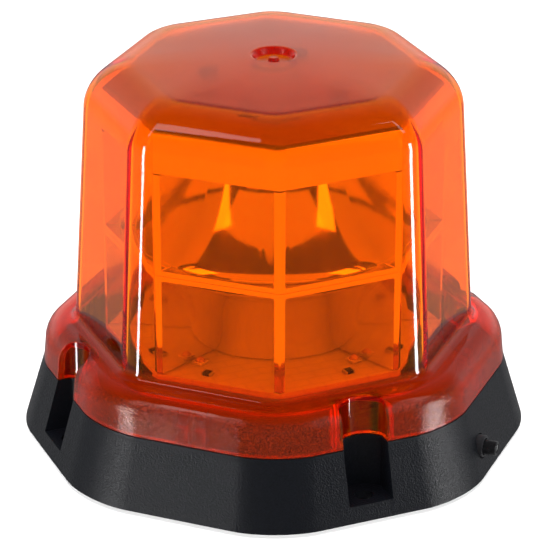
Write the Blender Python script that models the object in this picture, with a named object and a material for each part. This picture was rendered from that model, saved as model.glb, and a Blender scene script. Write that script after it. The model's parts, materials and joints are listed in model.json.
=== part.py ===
"""Octagonal amber warning beacon: black base, amber dome, two-tier reflector and button."""

import math

import bmesh
import bpy
from mathutils import Matrix, Vector

# All sizes below are millimetres. "Flat" is the distance from the axis to a flat of the octagon.
MM = 0.001
SIDES = 8
SIDE_ANGLE = 360.0 / SIDES
CORNER_STEPS = 4
CLEARANCE = 0.3
OVERCUT = 1.0

# Foot and rim of the black base
FOOT_FLARE = 6.1
FOOT_CORNER = 33.0
RIM_CORNER = 30.0
RIM_HEIGHT = 22.3
BASE_WALL = 3.0
FLOOR_THICKNESS = 2.7

# Rubber pad that the base stands on
PAD_THICKNESS = 3.0
PAD_SHOWN = 1.2
PAD_LIP = 2.0
PAD_CORNER = 31.0
PAD_TO_GLAND = 0.8

# Four screw recesses, cut down through the lens skirt and the base
RECESS_HALF_WIDTH = 7.0
RECESS_ARC = 8.5
RECESS_WALL = 2.8
RECESS_TO_DOME = 0.9
RECESS_DEPTH = 7.6
RECESS_ARC_STEPS = 8
SCREW_HOLE_RADIUS = 2.7
PAD_HOLE_RADIUS = 3.2
SCREW_HOLE_TO_BACK = 6.6

# Amber lens: skirt, shoulder and tapered dome
LENS_WALL = 2.6
SKIRT_DRAFT = 0.5
SKIRT_SIDE = 5.6
SKIRT_ROUND = 6.6
DOME_TAPER = 3.7
DOME_CORNER = 11.0
DOME_FOOT_FILLET = 2.5
DOME_TOP_FILLET = 15.0
CROWN_RISE = 1.8
CROWN_CEILING = 2.6
DIMPLE_RADIUS = 6.2
DIMPLE_EDGE = 1.0
DIMPLE_DEPTH = 2.0
NUB_RADIUS = 1.4
NUB_HEIGHT = 1.1

# Seal in the rim of the base
SEAL_WIDTH = 1.0
SEAL_HEIGHT = 1.1
SEAL_FROM_EDGE = 1.0

# Snap prongs of the base and the catches of the lens that they hold, on the diagonals
PRONG_WIDTH = 3.0
PRONG_SPREAD = 2.8
PRONG_THICKNESS = 2.2
PRONG_TO_CATCH = 0.6
PRONG_TOP_GAP = 1.0
PRONG_NIB = 1.3
PRONG_NIB_HEIGHT = 1.6
PRONG_BRACKET_HEIGHT = 3.5
PRONG_BRACKET_DROP = 3.8
PRONG_BRACKET_SIDE = 1.0
CATCH_HEIGHT = 3.8
CATCH_DEPTH = 2.0

# Push button through the wall of the base
BUTTON_ANGLE = 45.0
BUTTON_OFFSET = -12.0
BUTTON_HEIGHT = 9.5
BUTTON_RADIUS = 2.25
BUTTON_REACH = 5.0
BUTTON_DISH = 0.5
BUTTON_DISH_RIM = 0.6
BUTTON_TRAVEL = 1.0
BUTTON_COLLAR_RADIUS = 3.1
BUTTON_COLLAR_THICKNESS = 1.2
BUTTON_TAIL_RADIUS = 1.7
BUTTON_TAIL_IN_SWITCH = 0.6
BUSH_RADIUS = 3.4
BUSH_REACH = 1.3
BUSH_FLANGE_RADIUS = 4.6
BUSH_FLANGE_THICKNESS = 1.3
BUSH_BOSS_RADIUS = 6.0
BUSH_BOSS_DEPTH = 2.4
BUSH_BOSS_LIP = 0.9
SWITCH_LENGTH = 8.4
SWITCH_WIDTH = 7.0
SWITCH_BORE_DEPTH = 3.0

# Stack of boards and reflectors, turned a little against the dome
STACK_TURN = 1.5
STACK_RADIUS = 49.8
STACK_TO_LENS = 4.4908
STACK_TO_CEILING = 5.3
STACK_CORNER = 1.0
BOARD_THICKNESS = 1.6
PLATE_THICKNESS = 2.0
BOSS_RADIUS = 4.5
BOSS_HEIGHT = 7.7
DRIVER_BOARD_TO_WALL = 1.1
DRIVER_BOARD_CORNER = 4.0
STANDOFF_LENGTH = 13.0
STANDOFF_FLAT = 2.75
TIE_CIRCLE = 20.0
THREAD_RADIUS = 1.4
THREAD_CLEARANCE = 0.3
THREAD_END_GAP = 0.5
STUD_DEPTH = 6.0
TIE_DEPTH = 5.5
TIE_HEAD_RADIUS = 2.8
TIE_HEAD_HEIGHT = 2.4
TIE_SOCKET_RADIUS = 1.3
TIE_SOCKET_DEPTH = 1.4

# One reflector tier, from its open board side to the divider
TIER_HEIGHT = 31.45
DIVIDER_THICKNESS = 1.5
BOWL_NECK = 27.3
BOWL_MOUTH_TO_CORNER = 1.4321
BOWL_WALL = 1.8
BOWL_EDGE = 0.9
BOWL_STEPS = 7
BOWL_ARC_STEPS = 4
RIB_HALF = 1.6
CELL_FILLET = 2.2
CELL_FILLET_STEPS = 3
CELL_OUTREACH = 8.0

# Cap over the upper board
CAP_HEIGHT = 13.0
CAP_WALL = 1.8
CAP_EDGE = 1.0
CAP_COLUMN_RADIUS = 4.6
CAP_COUNTERBORE_DEPTH = 3.0

# Lamps and resistors on each lamp board, one of each in every cell
LAMP_FROM_EDGE = 9.5092
LAMP_ANGLE = 15.5
LAMP_SIZE = 3.6
LAMP_HEIGHT = 0.8
LAMP_DOME_RADIUS = 1.3
RESISTOR_FROM_EDGE = 4.5092
RESISTOR_ANGLE = 7.0
RESISTOR_LENGTH = 3.2
RESISTOR_WIDTH = 2.5
RESISTOR_HEIGHT = 1.0

# Link board that joins the driver board to both lamp boards
LINK_WIDTH = 12.0
LINK_THICKNESS = 1.6
LINK_SLOT_GAP = 0.4
SOCKET_WALL = 1.8
SOCKET_HEIGHT = 6.0
SOCKET_FLOOR = 2.0
HEADER_DEPTH = 3.0
HEADER_HEIGHT = 4.0

# Driver board parts: centre (x, y) and size of each
CAPACITOR_RADIUS = 4.0
CAPACITOR_HEIGHT = 10.5
CAPACITOR_PLACES = ((-30.0, 22.0), (-30.0, 32.0), (-20.0, 38.0))
INDUCTOR_RADIUS = 6.0
INDUCTOR_WAIST = 4.6
INDUCTOR_FLANGE = 1.4
INDUCTOR_HEIGHT = 7.0
INDUCTOR_PLACES = ((30.0, 22.0), (24.0, 36.0))
CHIP_SIZE = (6.0, 5.0, 1.7)
CHIP_PLACES = ((-16.0, -32.0), (16.0, -32.0))
TERMINAL_SIZE = (12.0, 8.0, 9.0)
TERMINAL_PLACE = (0.0, 44.0)

# Cable gland in the floor of the base
GLAND_PLACE = (0.0, 29.0)
GLAND_FLANGE_RADIUS = 6.2
GLAND_FLANGE_THICKNESS = 1.6
GLAND_NECK_RADIUS = 4.6
GLAND_BORE_RADIUS = 1.9
CABLE_HOLE_RADIUS = 3.2

# Levels, from the ground up
FLOOR_UNDER = PAD_THICKNESS + CLEARANCE
FLOOR_TOP = FLOOR_UNDER + FLOOR_THICKNESS
LENS_BOTTOM = RIM_HEIGHT + CLEARANCE
SHOULDER_BOTTOM = LENS_BOTTOM + SKIRT_SIDE
SHELF_HEIGHT = SHOULDER_BOTTOM + SKIRT_ROUND
BOSS_TOP = FLOOR_TOP + BOSS_HEIGHT
DRIVER_UNDER = BOSS_TOP + CLEARANCE
DRIVER_TOP = DRIVER_UNDER + BOARD_THICKNESS
STANDOFF_UNDER = DRIVER_TOP + CLEARANCE
STANDOFF_TOP = STANDOFF_UNDER + STANDOFF_LENGTH
PLATE_UNDER = STANDOFF_TOP + CLEARANCE
PLATE_TOP = PLATE_UNDER + PLATE_THICKNESS
LOWER_BOARD_UNDER = PLATE_TOP + CLEARANCE
LOWER_BOARD_TOP = LOWER_BOARD_UNDER + BOARD_THICKNESS
LOWER_TIER_UNDER = LOWER_BOARD_TOP + CLEARANCE
LOWER_TIER_TOP = LOWER_TIER_UNDER + TIER_HEIGHT
UPPER_TIER_UNDER = LOWER_TIER_TOP + CLEARANCE
UPPER_TIER_TOP = UPPER_TIER_UNDER + TIER_HEIGHT
UPPER_BOARD_UNDER = UPPER_TIER_TOP + CLEARANCE
UPPER_BOARD_TOP = UPPER_BOARD_UNDER + BOARD_THICKNESS
CAP_UNDER = UPPER_TIER_TOP + CLEARANCE
CAP_TOP = CAP_UNDER + CAP_HEIGHT
CROWN_EDGE_HEIGHT = CAP_TOP + STACK_TO_CEILING + CROWN_CEILING
CROWN_HEIGHT = CROWN_EDGE_HEIGHT + CROWN_RISE
DOME_FILLET_BOTTOM = CROWN_EDGE_HEIGHT - DOME_TOP_FILLET

# Distances from the axis, from the stack outward
FLAT_TO_CORNER = 1.0 / math.cos(math.pi / SIDES)
STACK_FLAT = STACK_RADIUS / FLAT_TO_CORNER
BOWL_CURVE = (STACK_RADIUS - BOWL_MOUTH_TO_CORNER - BOWL_NECK) / TIER_HEIGHT ** 2
LAMP_CIRCLE = STACK_FLAT - LAMP_FROM_EDGE
RESISTOR_CIRCLE = STACK_FLAT - RESISTOR_FROM_EDGE
DOME_TOP_FLAT = STACK_FLAT + STACK_TO_LENS + LENS_WALL
DOME_FOOT_FLAT = DOME_TOP_FLAT + DOME_TAPER
RECESS_BACK = DOME_FOOT_FLAT + DOME_FOOT_FILLET + RECESS_TO_DOME
RECESS_CENTRE = RECESS_BACK + RECESS_ARC
RIM_FLAT = RECESS_BACK + RECESS_DEPTH
SKIRT_TOP_FLAT = RIM_FLAT - SKIRT_DRAFT
FOOT_FLAT = RIM_FLAT + FOOT_FLARE
BASE_LEAN = FOOT_FLARE / (RIM_HEIGHT - PAD_SHOWN)
RECESS_REACH = FOOT_FLAT + BUTTON_REACH + OVERCUT
DRIVER_BOARD_FLAT = RECESS_BACK - RECESS_WALL - DRIVER_BOARD_TO_WALL
HOLE_CIRCLE = RECESS_BACK + SCREW_HOLE_TO_BACK
THREAD_BORE = THREAD_RADIUS + THREAD_CLEARANCE
CATCH_FACE = SKIRT_TOP_FLAT - LENS_WALL - CATCH_DEPTH
PRONG_FACE = CATCH_FACE - PRONG_TO_CATCH
BUTTON_WALL = FOOT_FLAT - BASE_LEAN * (BUTTON_HEIGHT - PAD_SHOWN)
BOSS_FACE = BUTTON_WALL - BASE_WALL - BUSH_BOSS_DEPTH
BUSH_INNER = BOSS_FACE - CLEARANCE - BUSH_FLANGE_THICKNESS
COLLAR_OUTER = BUSH_INNER - CLEARANCE
COLLAR_INNER = COLLAR_OUTER - BUTTON_COLLAR_THICKNESS
SWITCH_FACE = COLLAR_INNER - BUTTON_TRAVEL - 2.0 * CLEARANCE
RIGHT_ANGLES = (0.0, 90.0, 180.0, 270.0)
DIAGONALS = (45.0, 135.0, 225.0, 315.0)


# ---- Outlines and solids ----

def around(angle, radius, height=0.0):
    """Point at a bearing round the axis: 0 degrees is -Y and 90 degrees is +X."""
    bearing = math.radians(angle)
    return Vector((radius * math.sin(bearing), -radius * math.cos(bearing), height))


def octagon(flat, corner, height, turn=0.0):
    """Octagon with rounded corners whose flats face the axes and the diagonals."""
    points = []
    centre = (flat - corner) * FLAT_TO_CORNER
    for side in range(SIDES):
        middle = SIDE_ANGLE * (side + 0.5) + turn
        for step in range(CORNER_STEPS + 1):
            bearing = middle + SIDE_ANGLE * (step / CORNER_STEPS - 0.5)
            points.append(around(middle, centre, height) + around(bearing, corner))
    return points


def circle(radius, height, count=SIDES * (CORNER_STEPS + 1), centre=(0.0, 0.0)):
    shift = Vector((centre[0], centre[1], 0.0))
    return [around(360.0 * step / count, radius, height) + shift for step in range(count)]


def loft(rings, closed=False):
    """Skin rings of equal count, with end caps or, if closed, back to the first ring."""
    bm = bmesh.new()
    skins = [[bm.verts.new(point) for point in ring] for ring in rings]
    pairs = list(zip(skins, skins[1:]))
    if closed:
        pairs.append((skins[-1], skins[0]))
    else:
        bm.faces.new(skins[0])
        bm.faces.new(skins[-1])
    for lower, upper in pairs:
        for index in range(len(lower)):
            after = (index + 1) % len(lower)
            bm.faces.new((lower[index], lower[after], upper[after], upper[index]))
    bmesh.ops.recalc_face_normals(bm, faces=bm.faces)
    return bm


def prism(outline, bottom, top):
    return loft([[Vector((p[0], p[1], height)) for p in outline] for height in (bottom, top)])


def turned(profile, count=24, centre=(0.0, 0.0), closed=False):
    """Solid of revolution about a vertical axis from (radius, height) pairs."""
    return loft([circle(radius, height, count, centre) for radius, height in profile], closed)


def box(size, centre, bottom, turn=0.0):
    half_x = size[0] / 2.0
    half_y = size[1] / 2.0
    corners = ((-half_x, -half_y), (half_x, -half_y), (half_x, half_y), (-half_x, half_y))
    spin = Matrix.Rotation(math.radians(turn), 3, "Z")
    outline = [spin @ Vector((x, y, 0.0)) + Vector((centre[0], centre[1], 0.0)) for x, y in corners]
    return prism(outline, bottom, bottom + size[2])


def radial_box(angle, inner, outer, offset, width, bottom, top):
    """Box on a bearing: inner to outer along it, offset and width across it."""
    side = around(angle + 90.0, 1.0)
    low = side * (offset - width / 2.0)
    high = side * (offset + width / 2.0)
    near = around(angle, inner)
    far = around(angle, outer)
    return prism([near + low, near + high, far + high, far + low], bottom, top)


def joined(solids):
    """One mesh of several separate solids."""
    whole = bmesh.new()
    for solid in solids:
        piece = bpy.data.meshes.new("piece")
        solid.to_mesh(piece)
        solid.free()
        whole.from_mesh(piece)
        bpy.data.meshes.remove(piece)
    return whole


def placed(bm, angle, offset, height):
    """Turn a solid built along +Z so that it points outward on a bearing."""
    outward = around(angle, 1.0)
    across = around(angle + 90.0, 1.0)
    turn = Matrix((across, Vector((0.0, 0.0, 1.0)), outward)).transposed().to_4x4()
    shift = Matrix.Translation(across * offset + Vector((0.0, 0.0, height)))
    bmesh.ops.transform(bm, matrix=shift @ turn, verts=bm.verts)
    bmesh.ops.recalc_face_normals(bm, faces=bm.faces)
    return bm


# ---- Objects, materials and cuts ----

def linear(channel):
    value = int(channel, 16) / 255.0
    return value / 12.92 if value <= 0.04045 else ((value + 0.055) / 1.055) ** 2.4


def finish(name, colour, roughness, metallic=0.0, transmission=0.0):
    """Principled material from a six-digit sRGB colour."""
    material = bpy.data.materials.new(name)
    material.use_nodes = True
    shader = material.node_tree.nodes["Principled BSDF"]
    shades = [linear(colour[start:start + 2]) for start in (0, 2, 4)]
    shader.inputs["Base Color"].default_value = (*shades, 1.0)
    shader.inputs["Roughness"].default_value = roughness
    shader.inputs["Metallic"].default_value = metallic
    shader.inputs["Transmission Weight"].default_value = transmission
    return material


def add_object(name, bm):
    bmesh.ops.scale(bm, vec=(MM, MM, MM), verts=bm.verts)
    mesh = bpy.data.meshes.new(name)
    bm.to_mesh(mesh)
    bm.free()
    obj = bpy.data.objects.new(name, mesh)
    bpy.context.scene.collection.objects.link(obj)
    return obj


def add_part(name, bm, material):
    obj = add_object(name, bm)
    obj.data.materials.append(material)
    obj.data.shade_smooth()
    obj.data.set_sharp_from_angle(angle=math.radians(30.0))
    return obj


def add_tool(name, bm):
    """Hidden solid that only cuts or joins another."""
    tool = add_object(name, bm)
    tool.hide_render = True
    tool.display_type = "WIRE"
    return tool


def combine(obj, tool, operation="DIFFERENCE"):
    modifier = obj.modifiers.new(tool.name, "BOOLEAN")
    modifier.object = tool
    modifier.operation = operation
    modifier.solver = "EXACT"


# ---- Recesses that the lens and the base share ----

def recess_outline(angle, grow):
    """Plan of one recess: straight sides, arched back, open past the foot of the base."""
    half = RECESS_HALF_WIDTH + grow
    arc = RECESS_ARC + grow
    swing = math.degrees(math.asin(min(1.0, half / arc)))
    outline = []
    for step in range(RECESS_ARC_STEPS + 1):
        bearing = -swing + 2.0 * swing * step / RECESS_ARC_STEPS
        outline.append(around(angle, RECESS_CENTRE) - around(angle - bearing, arc))
    side = around(angle + 90.0, 1.0) * half
    outline.append(around(angle, RECESS_REACH) + side)
    outline.append(around(angle, RECESS_REACH) - side)
    return outline


def recesses(grow, bottom, top):
    return joined([prism(recess_outline(angle, grow), bottom, top) for angle in RIGHT_ANGLES])


def recessed_slab(name, flat, corner, grow, bottom, top):
    """Octagonal slab with the recesses, widened by grow, cut out of its edge."""
    slab = add_tool(name, loft([octagon(flat, corner, z) for z in (bottom, top)]))
    cutter = add_tool(name + "_recesses", recesses(grow, bottom - OVERCUT, top + OVERCUT))
    combine(slab, cutter)
    return slab


def screw_holes(radius, bottom, top):
    places = [around(angle, HOLE_CIRCLE) for angle in RIGHT_ANGLES]
    return joined([turned(((radius, bottom), (radius, top)), 20, place[:2]) for place in places])


def tie_places():
    return [around(angle + STACK_TURN, TIE_CIRCLE)[:2] for angle in DIAGONALS]


def tie_holes(radius, bottom, top):
    return joined([turned(((radius, bottom), (radius, top)), 12, place) for place in tie_places()])


# ---- Pad, base, seal and gland ----

def mounting_pad():
    flat = FOOT_FLAT - PAD_LIP
    pad = add_part(
        "mounting_pad",
        loft([octagon(flat, PAD_CORNER, z) for z in (0.0, PAD_THICKNESS)]),
        finish("black_rubber_pad", "17181A", 0.9),
    )
    room = GLAND_FLANGE_RADIUS + PAD_TO_GLAND
    opening = turned(((room, -OVERCUT), (room, PAD_THICKNESS + OVERCUT)), 24, GLAND_PLACE)
    combine(pad, add_tool("pad_opening", opening))
    holes = screw_holes(PAD_HOLE_RADIUS, -OVERCUT, PAD_THICKNESS + OVERCUT)
    combine(pad, add_tool("pad_holes", holes))


def base_flat(height):
    return FOOT_FLAT - BASE_LEAN * (height - PAD_SHOWN)


def base_corner(height):
    share = (height - PAD_SHOWN) / (RIM_HEIGHT - PAD_SHOWN)
    return FOOT_CORNER + (RIM_CORNER - FOOT_CORNER) * share


def base_core():
    """Inside of the base, less the walls round the screw recesses."""
    rings = []
    for height in (FLOOR_TOP, RIM_HEIGHT + OVERCUT):
        rings.append(octagon(base_flat(height) - BASE_WALL, base_corner(height) - BASE_WALL, height))
    core = add_tool("base_core", loft(rings))
    walls = add_tool("base_recess_walls", recesses(RECESS_WALL, FLOOR_UNDER, RIM_HEIGHT + 2.0 * OVERCUT))
    combine(core, walls)
    return core


def seal_band(name, inset, width, bottom, top):
    """Closed band that runs round the rim and behind each recess."""
    outer_flat = RIM_FLAT - inset
    band = recessed_slab(name, outer_flat, RIM_CORNER - inset, inset, bottom, top)
    inner_flat = outer_flat - width
    inner = recessed_slab(
        name + "_inner", inner_flat, RIM_CORNER - inset - width, inset + width, bottom - OVERCUT, top + OVERCUT
    )
    combine(band, inner)
    return band


def prong_solids():
    """Bracket and two hooked prongs on each diagonal."""
    solids = []
    bracket_top = RIM_HEIGHT - PRONG_BRACKET_DROP
    bracket_bottom = bracket_top - PRONG_BRACKET_HEIGHT
    inner = PRONG_FACE - PRONG_THICKNESS
    bracket_outer = base_flat(bracket_top) - BASE_WALL / 2.0
    bracket_width = 2.0 * (PRONG_SPREAD + PRONG_WIDTH / 2.0 + PRONG_BRACKET_SIDE)
    prong_top = SHELF_HEIGHT - LENS_WALL - PRONG_TOP_GAP
    nib_bottom = LENS_BOTTOM + CLEARANCE + CATCH_HEIGHT + CLEARANCE
    nib_top = nib_bottom + PRONG_NIB_HEIGHT
    for angle in DIAGONALS:
        solids.append(radial_box(
            angle, inner, bracket_outer, 0.0, bracket_width, bracket_bottom, bracket_top))
        for offset in (-PRONG_SPREAD, PRONG_SPREAD):
            side = around(angle + 90.0, 1.0)
            profile = (
                (inner, bracket_bottom + OVERCUT),
                (PRONG_FACE, bracket_bottom + OVERCUT),
                (PRONG_FACE, nib_bottom),
                (PRONG_FACE + PRONG_NIB, nib_bottom),
                (PRONG_FACE, nib_top),
                (PRONG_FACE, prong_top),
                (inner, prong_top),
            )
            ends = []
            for edge in (offset - PRONG_WIDTH / 2.0, offset + PRONG_WIDTH / 2.0):
                ends.append([around(angle, radius, z) + side * edge for radius, z in profile])
            solids.append(loft(ends))
    return solids


def base_housing():
    base = add_part(
        "base_housing",
        loft([octagon(base_flat(z), base_corner(z), z) for z in (PAD_SHOWN, RIM_HEIGHT)]),
        finish("black_abs_base", "2E2F33", 0.55),
    )
    combine(base, base_core())
    for index, solid in enumerate(prong_solids()):
        combine(base, add_tool(f"prong_{index}", solid), "UNION")
    bosses = tie_holes(BOSS_RADIUS, FLOOR_TOP - OVERCUT, BOSS_TOP)
    combine(base, add_tool("base_bosses", bosses), "UNION")
    boss_top = BUTTON_WALL - BASE_WALL / 2.0 - BASE_LEAN * BUSH_BOSS_RADIUS
    boss_lip = BOSS_FACE - BUSH_BOSS_LIP
    bush_boss = turned(((BUSH_BOSS_RADIUS, boss_lip), (BUSH_BOSS_RADIUS, boss_top)), 28)
    bush_boss = placed(bush_boss, BUTTON_ANGLE, BUTTON_OFFSET, BUTTON_HEIGHT)
    combine(base, add_tool("bush_boss", bush_boss), "UNION")
    pad_room = loft([octagon(
        FOOT_FLAT - PAD_LIP + CLEARANCE, PAD_CORNER + CLEARANCE, z) for z in (0.0, FLOOR_UNDER)])
    combine(base, add_tool("pad_room", pad_room))
    combine(base, add_tool("base_recesses", recesses(0.0, FLOOR_TOP, RIM_HEIGHT + 3.0 * OVERCUT)))
    holes = screw_holes(SCREW_HOLE_RADIUS, 0.0, RIM_HEIGHT)
    combine(base, add_tool("base_screw_holes", holes))
    stud_bottom = BOSS_TOP - STUD_DEPTH - THREAD_END_GAP
    stud_bores = tie_holes(THREAD_BORE, stud_bottom, BOSS_TOP + OVERCUT)
    combine(base, add_tool("stud_bores", stud_bores))
    bush_radius = BUSH_RADIUS + CLEARANCE
    bush_hole = turned(((bush_radius, BOSS_FACE - OVERCUT), (bush_radius, FOOT_FLAT + BUTTON_REACH)), 24)
    bush_hole = placed(bush_hole, BUTTON_ANGLE, BUTTON_OFFSET, BUTTON_HEIGHT)
    combine(base, add_tool("bush_hole", bush_hole))
    room = BUSH_FLANGE_RADIUS + CLEARANCE
    flange_room = turned(((room, COLLAR_INNER - BUTTON_TRAVEL), (room, BOSS_FACE)), 28)
    flange_room = placed(flange_room, BUTTON_ANGLE, BUTTON_OFFSET, BUTTON_HEIGHT)
    combine(base, add_tool("bush_flange_room", flange_room))
    gland_radius = GLAND_NECK_RADIUS + CLEARANCE
    gland_hole = turned(((gland_radius, 0.0), (gland_radius, FLOOR_TOP + OVERCUT)), 24, GLAND_PLACE)
    combine(base, add_tool("gland_hole", gland_hole))
    groove_floor = RIM_HEIGHT - SEAL_HEIGHT - CLEARANCE
    groove = seal_band(
        "seal_groove", SEAL_FROM_EDGE - CLEARANCE, SEAL_WIDTH + 2.0 * CLEARANCE,
        groove_floor, RIM_HEIGHT + OVERCUT)
    combine(base, groove)


def lens_seal():
    seal = seal_band("lens_seal", SEAL_FROM_EDGE, SEAL_WIDTH, RIM_HEIGHT - SEAL_HEIGHT, RIM_HEIGHT)
    seal.hide_render = False
    seal.display_type = "TEXTURED"
    seal.data.materials.append(finish("grey_silicone_seal", "3A3A3C", 0.8))


def cable_gland():
    """Rubber grommet with a flange on each face of the floor and an open bore."""
    top_under = FLOOR_TOP + CLEARANCE
    bottom_top = FLOOR_UNDER - CLEARANCE
    top = top_under + GLAND_FLANGE_THICKNESS
    bottom = bottom_top - GLAND_FLANGE_THICKNESS
    profile = (
        (GLAND_BORE_RADIUS, bottom),
        (GLAND_FLANGE_RADIUS, bottom),
        (GLAND_FLANGE_RADIUS, bottom_top),
        (GLAND_NECK_RADIUS, bottom_top),
        (GLAND_NECK_RADIUS, top_under),
        (GLAND_FLANGE_RADIUS, top_under),
        (GLAND_FLANGE_RADIUS, top),
        (GLAND_BORE_RADIUS, top),
    )
    solid = turned(profile, 24, GLAND_PLACE, closed=True)
    add_part("cable_gland", solid, finish("black_rubber_gland", "1B1B1D", 0.85))


# ---- Amber lens ----

def quarter(centre, radius, start, end, steps):
    """Arc as (flat, height) pairs between two angles in degrees."""
    points = []
    for step in range(steps + 1):
        turn = math.radians(start + (end - start) * step / steps)
        points.append((centre[0] + radius * math.cos(turn), centre[1] + radius * math.sin(turn)))
    return points


def lens_rings(inset):
    """Rings of the lens surface, moved inward by inset, from the skirt to the crown."""
    skirt_corner = RIM_CORNER - inset
    dome_corner = DOME_CORNER - inset
    rings = [octagon(RIM_FLAT - inset, skirt_corner, LENS_BOTTOM)]
    shoulder = quarter(
        (SKIRT_TOP_FLAT - SKIRT_ROUND, SHOULDER_BOTTOM), SKIRT_ROUND - inset, 0.0, 90.0, 5)
    for flat, height in shoulder:
        rings.append(octagon(flat, skirt_corner - (SKIRT_TOP_FLAT - inset - flat), height))
    foot = quarter(
        (DOME_FOOT_FLAT + DOME_FOOT_FILLET, SHELF_HEIGHT + DOME_FOOT_FILLET),
        DOME_FOOT_FILLET + inset, 270.0, 180.0, 4)
    for flat, height in foot:
        rings.append(octagon(flat, dome_corner + (flat - DOME_FOOT_FLAT + inset), height))
    top = quarter(
        (DOME_TOP_FLAT - DOME_TOP_FILLET, DOME_FILLET_BOTTOM), DOME_TOP_FILLET - inset, 0.0, 90.0, 7)
    for flat, height in top:
        rings.append(octagon(flat, dome_corner, height))
    return rings


def crown_rings():
    """Crown of the dome, down into the dimple and up over its nub."""
    flat_start = DOME_TOP_FLAT - DOME_TOP_FILLET
    edge = DIMPLE_RADIUS + DIMPLE_EDGE
    rings = []
    for share in (0.35, 0.7):
        flat = flat_start + (edge - flat_start) * share
        height = CROWN_EDGE_HEIGHT + CROWN_RISE * (1.0 - (flat / flat_start) ** 2)
        rings.append(octagon(flat, DOME_CORNER * (1.0 - share) + flat * share, height))
    floor = CROWN_HEIGHT - DIMPLE_DEPTH
    rings.append(circle_like(edge, CROWN_HEIGHT))
    rings.append(circle_like(DIMPLE_RADIUS - 0.3, CROWN_HEIGHT - 0.3))
    rings.append(circle_like(DIMPLE_RADIUS - DIMPLE_EDGE, floor))
    rings.append(circle_like(NUB_RADIUS + 0.3, floor))
    rings.append(circle_like(NUB_RADIUS, floor + NUB_HEIGHT - 0.3))
    rings.append(circle_like(NUB_RADIUS - 0.4, floor + NUB_HEIGHT))
    return rings


def circle_like(radius, height):
    """Circle whose points line up with those of an octagon's ring."""
    return octagon(radius, radius, height)


def catch_solids():
    """Blocks inside the skirt that the prongs hook over."""
    solids = []
    bottom = LENS_BOTTOM + CLEARANCE
    outer = SKIRT_TOP_FLAT - LENS_WALL / 2.0
    for angle in DIAGONALS:
        for offset in (-PRONG_SPREAD, PRONG_SPREAD):
            solids.append(radial_box(
                angle, CATCH_FACE, outer, offset, PRONG_WIDTH, bottom, bottom + CATCH_HEIGHT))
    return solids


def lens_dome():
    lens = add_part(
        "lens_dome",
        loft(lens_rings(0.0) + crown_rings()),
        finish("amber_polycarbonate_lens", "F26A12", 0.08, transmission=0.9),
    )
    inner = lens_rings(LENS_WALL)
    ceiling = CROWN_EDGE_HEIGHT - CROWN_CEILING
    inner[-1] = octagon(DOME_TOP_FLAT - DOME_TOP_FILLET, DOME_CORNER - LENS_WALL, ceiling)
    below = octagon(RIM_FLAT - LENS_WALL, RIM_CORNER - LENS_WALL, LENS_BOTTOM - OVERCUT)
    core = add_tool("lens_core", loft([below] + inner))
    top = SHELF_HEIGHT + DOME_FOOT_FILLET + 2.0 * OVERCUT
    combine(core, add_tool("lens_recess_walls", recesses(RECESS_WALL, FLOOR_TOP, SHELF_HEIGHT)))
    combine(lens, core)
    combine(lens, add_tool("lens_catches", joined(catch_solids())), "UNION")
    combine(lens, add_tool("lens_recesses", recesses(0.0, FLOOR_TOP, top)))


# ---- Button ----

def button_bush():
    reach = BUTTON_WALL + BUSH_REACH
    flange_outer = BUSH_INNER + BUSH_FLANGE_THICKNESS
    bore = BUTTON_RADIUS + CLEARANCE
    profile = (
        (bore, BUSH_INNER),
        (BUSH_FLANGE_RADIUS, BUSH_INNER),
        (BUSH_FLANGE_RADIUS, flange_outer),
        (BUSH_RADIUS, flange_outer),
        (BUSH_RADIUS, reach),
        (bore, reach),
    )
    solid = placed(turned(profile, 24, closed=True), BUTTON_ANGLE, BUTTON_OFFSET, BUTTON_HEIGHT)
    add_part("button_bush", solid, finish("black_nylon_bush", "1D1D20", 0.45))


def mode_button():
    """Plunger with a dished end, a collar that stops it and a tail into the switch."""
    tip = BUTTON_WALL + BUTTON_REACH
    tail = SWITCH_FACE - BUTTON_TAIL_IN_SWITCH
    profile = (
        (BUTTON_TAIL_RADIUS, tail),
        (BUTTON_TAIL_RADIUS, COLLAR_INNER),
        (BUTTON_COLLAR_RADIUS, COLLAR_INNER),
        (BUTTON_COLLAR_RADIUS, COLLAR_OUTER),
        (BUTTON_RADIUS, COLLAR_OUTER),
        (BUTTON_RADIUS, tip - 0.3),
        (BUTTON_RADIUS - 0.3, tip),
        (BUTTON_RADIUS - BUTTON_DISH_RIM, tip),
        (BUTTON_RADIUS - BUTTON_DISH_RIM - 0.3, tip - BUTTON_DISH),
    )
    centred = [(radius, height - BUTTON_WALL) for radius, height in profile]
    solid = placed(turned(centred, 24), BUTTON_ANGLE, 0.0, 0.0)
    button = add_part("mode_button", solid, finish("black_plastic_button", "202024", 0.3))
    across = around(BUTTON_ANGLE + 90.0, BUTTON_OFFSET)
    button.location = (around(BUTTON_ANGLE, BUTTON_WALL, BUTTON_HEIGHT) + across) * MM


def button_switch():
    half = SWITCH_WIDTH / 2.0
    back = SWITCH_FACE - SWITCH_LENGTH
    bottom = FLOOR_TOP + CLEARANCE
    top = DRIVER_UNDER - CLEARANCE
    body = radial_box(BUTTON_ANGLE, back, SWITCH_FACE, BUTTON_OFFSET, 2.0 * half, bottom, top)
    switch = add_part("button_switch", body, finish("grey_plastic_switch", "34363A", 0.5))
    bore_radius = BUTTON_TAIL_RADIUS + CLEARANCE
    bore = turned(((bore_radius, SWITCH_FACE - SWITCH_BORE_DEPTH), (bore_radius, SWITCH_FACE + OVERCUT)), 20)
    combine(switch, add_tool("switch_bore", placed(bore, BUTTON_ANGLE, BUTTON_OFFSET, BUTTON_HEIGHT)))


# ---- Boards, plate and fasteners ----

def link_slot(bottom, top):
    size = (LINK_WIDTH + 2.0 * LINK_SLOT_GAP, LINK_THICKNESS + 2.0 * LINK_SLOT_GAP, top - bottom)
    return box(size, (0.0, 0.0), bottom, STACK_TURN)


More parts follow.
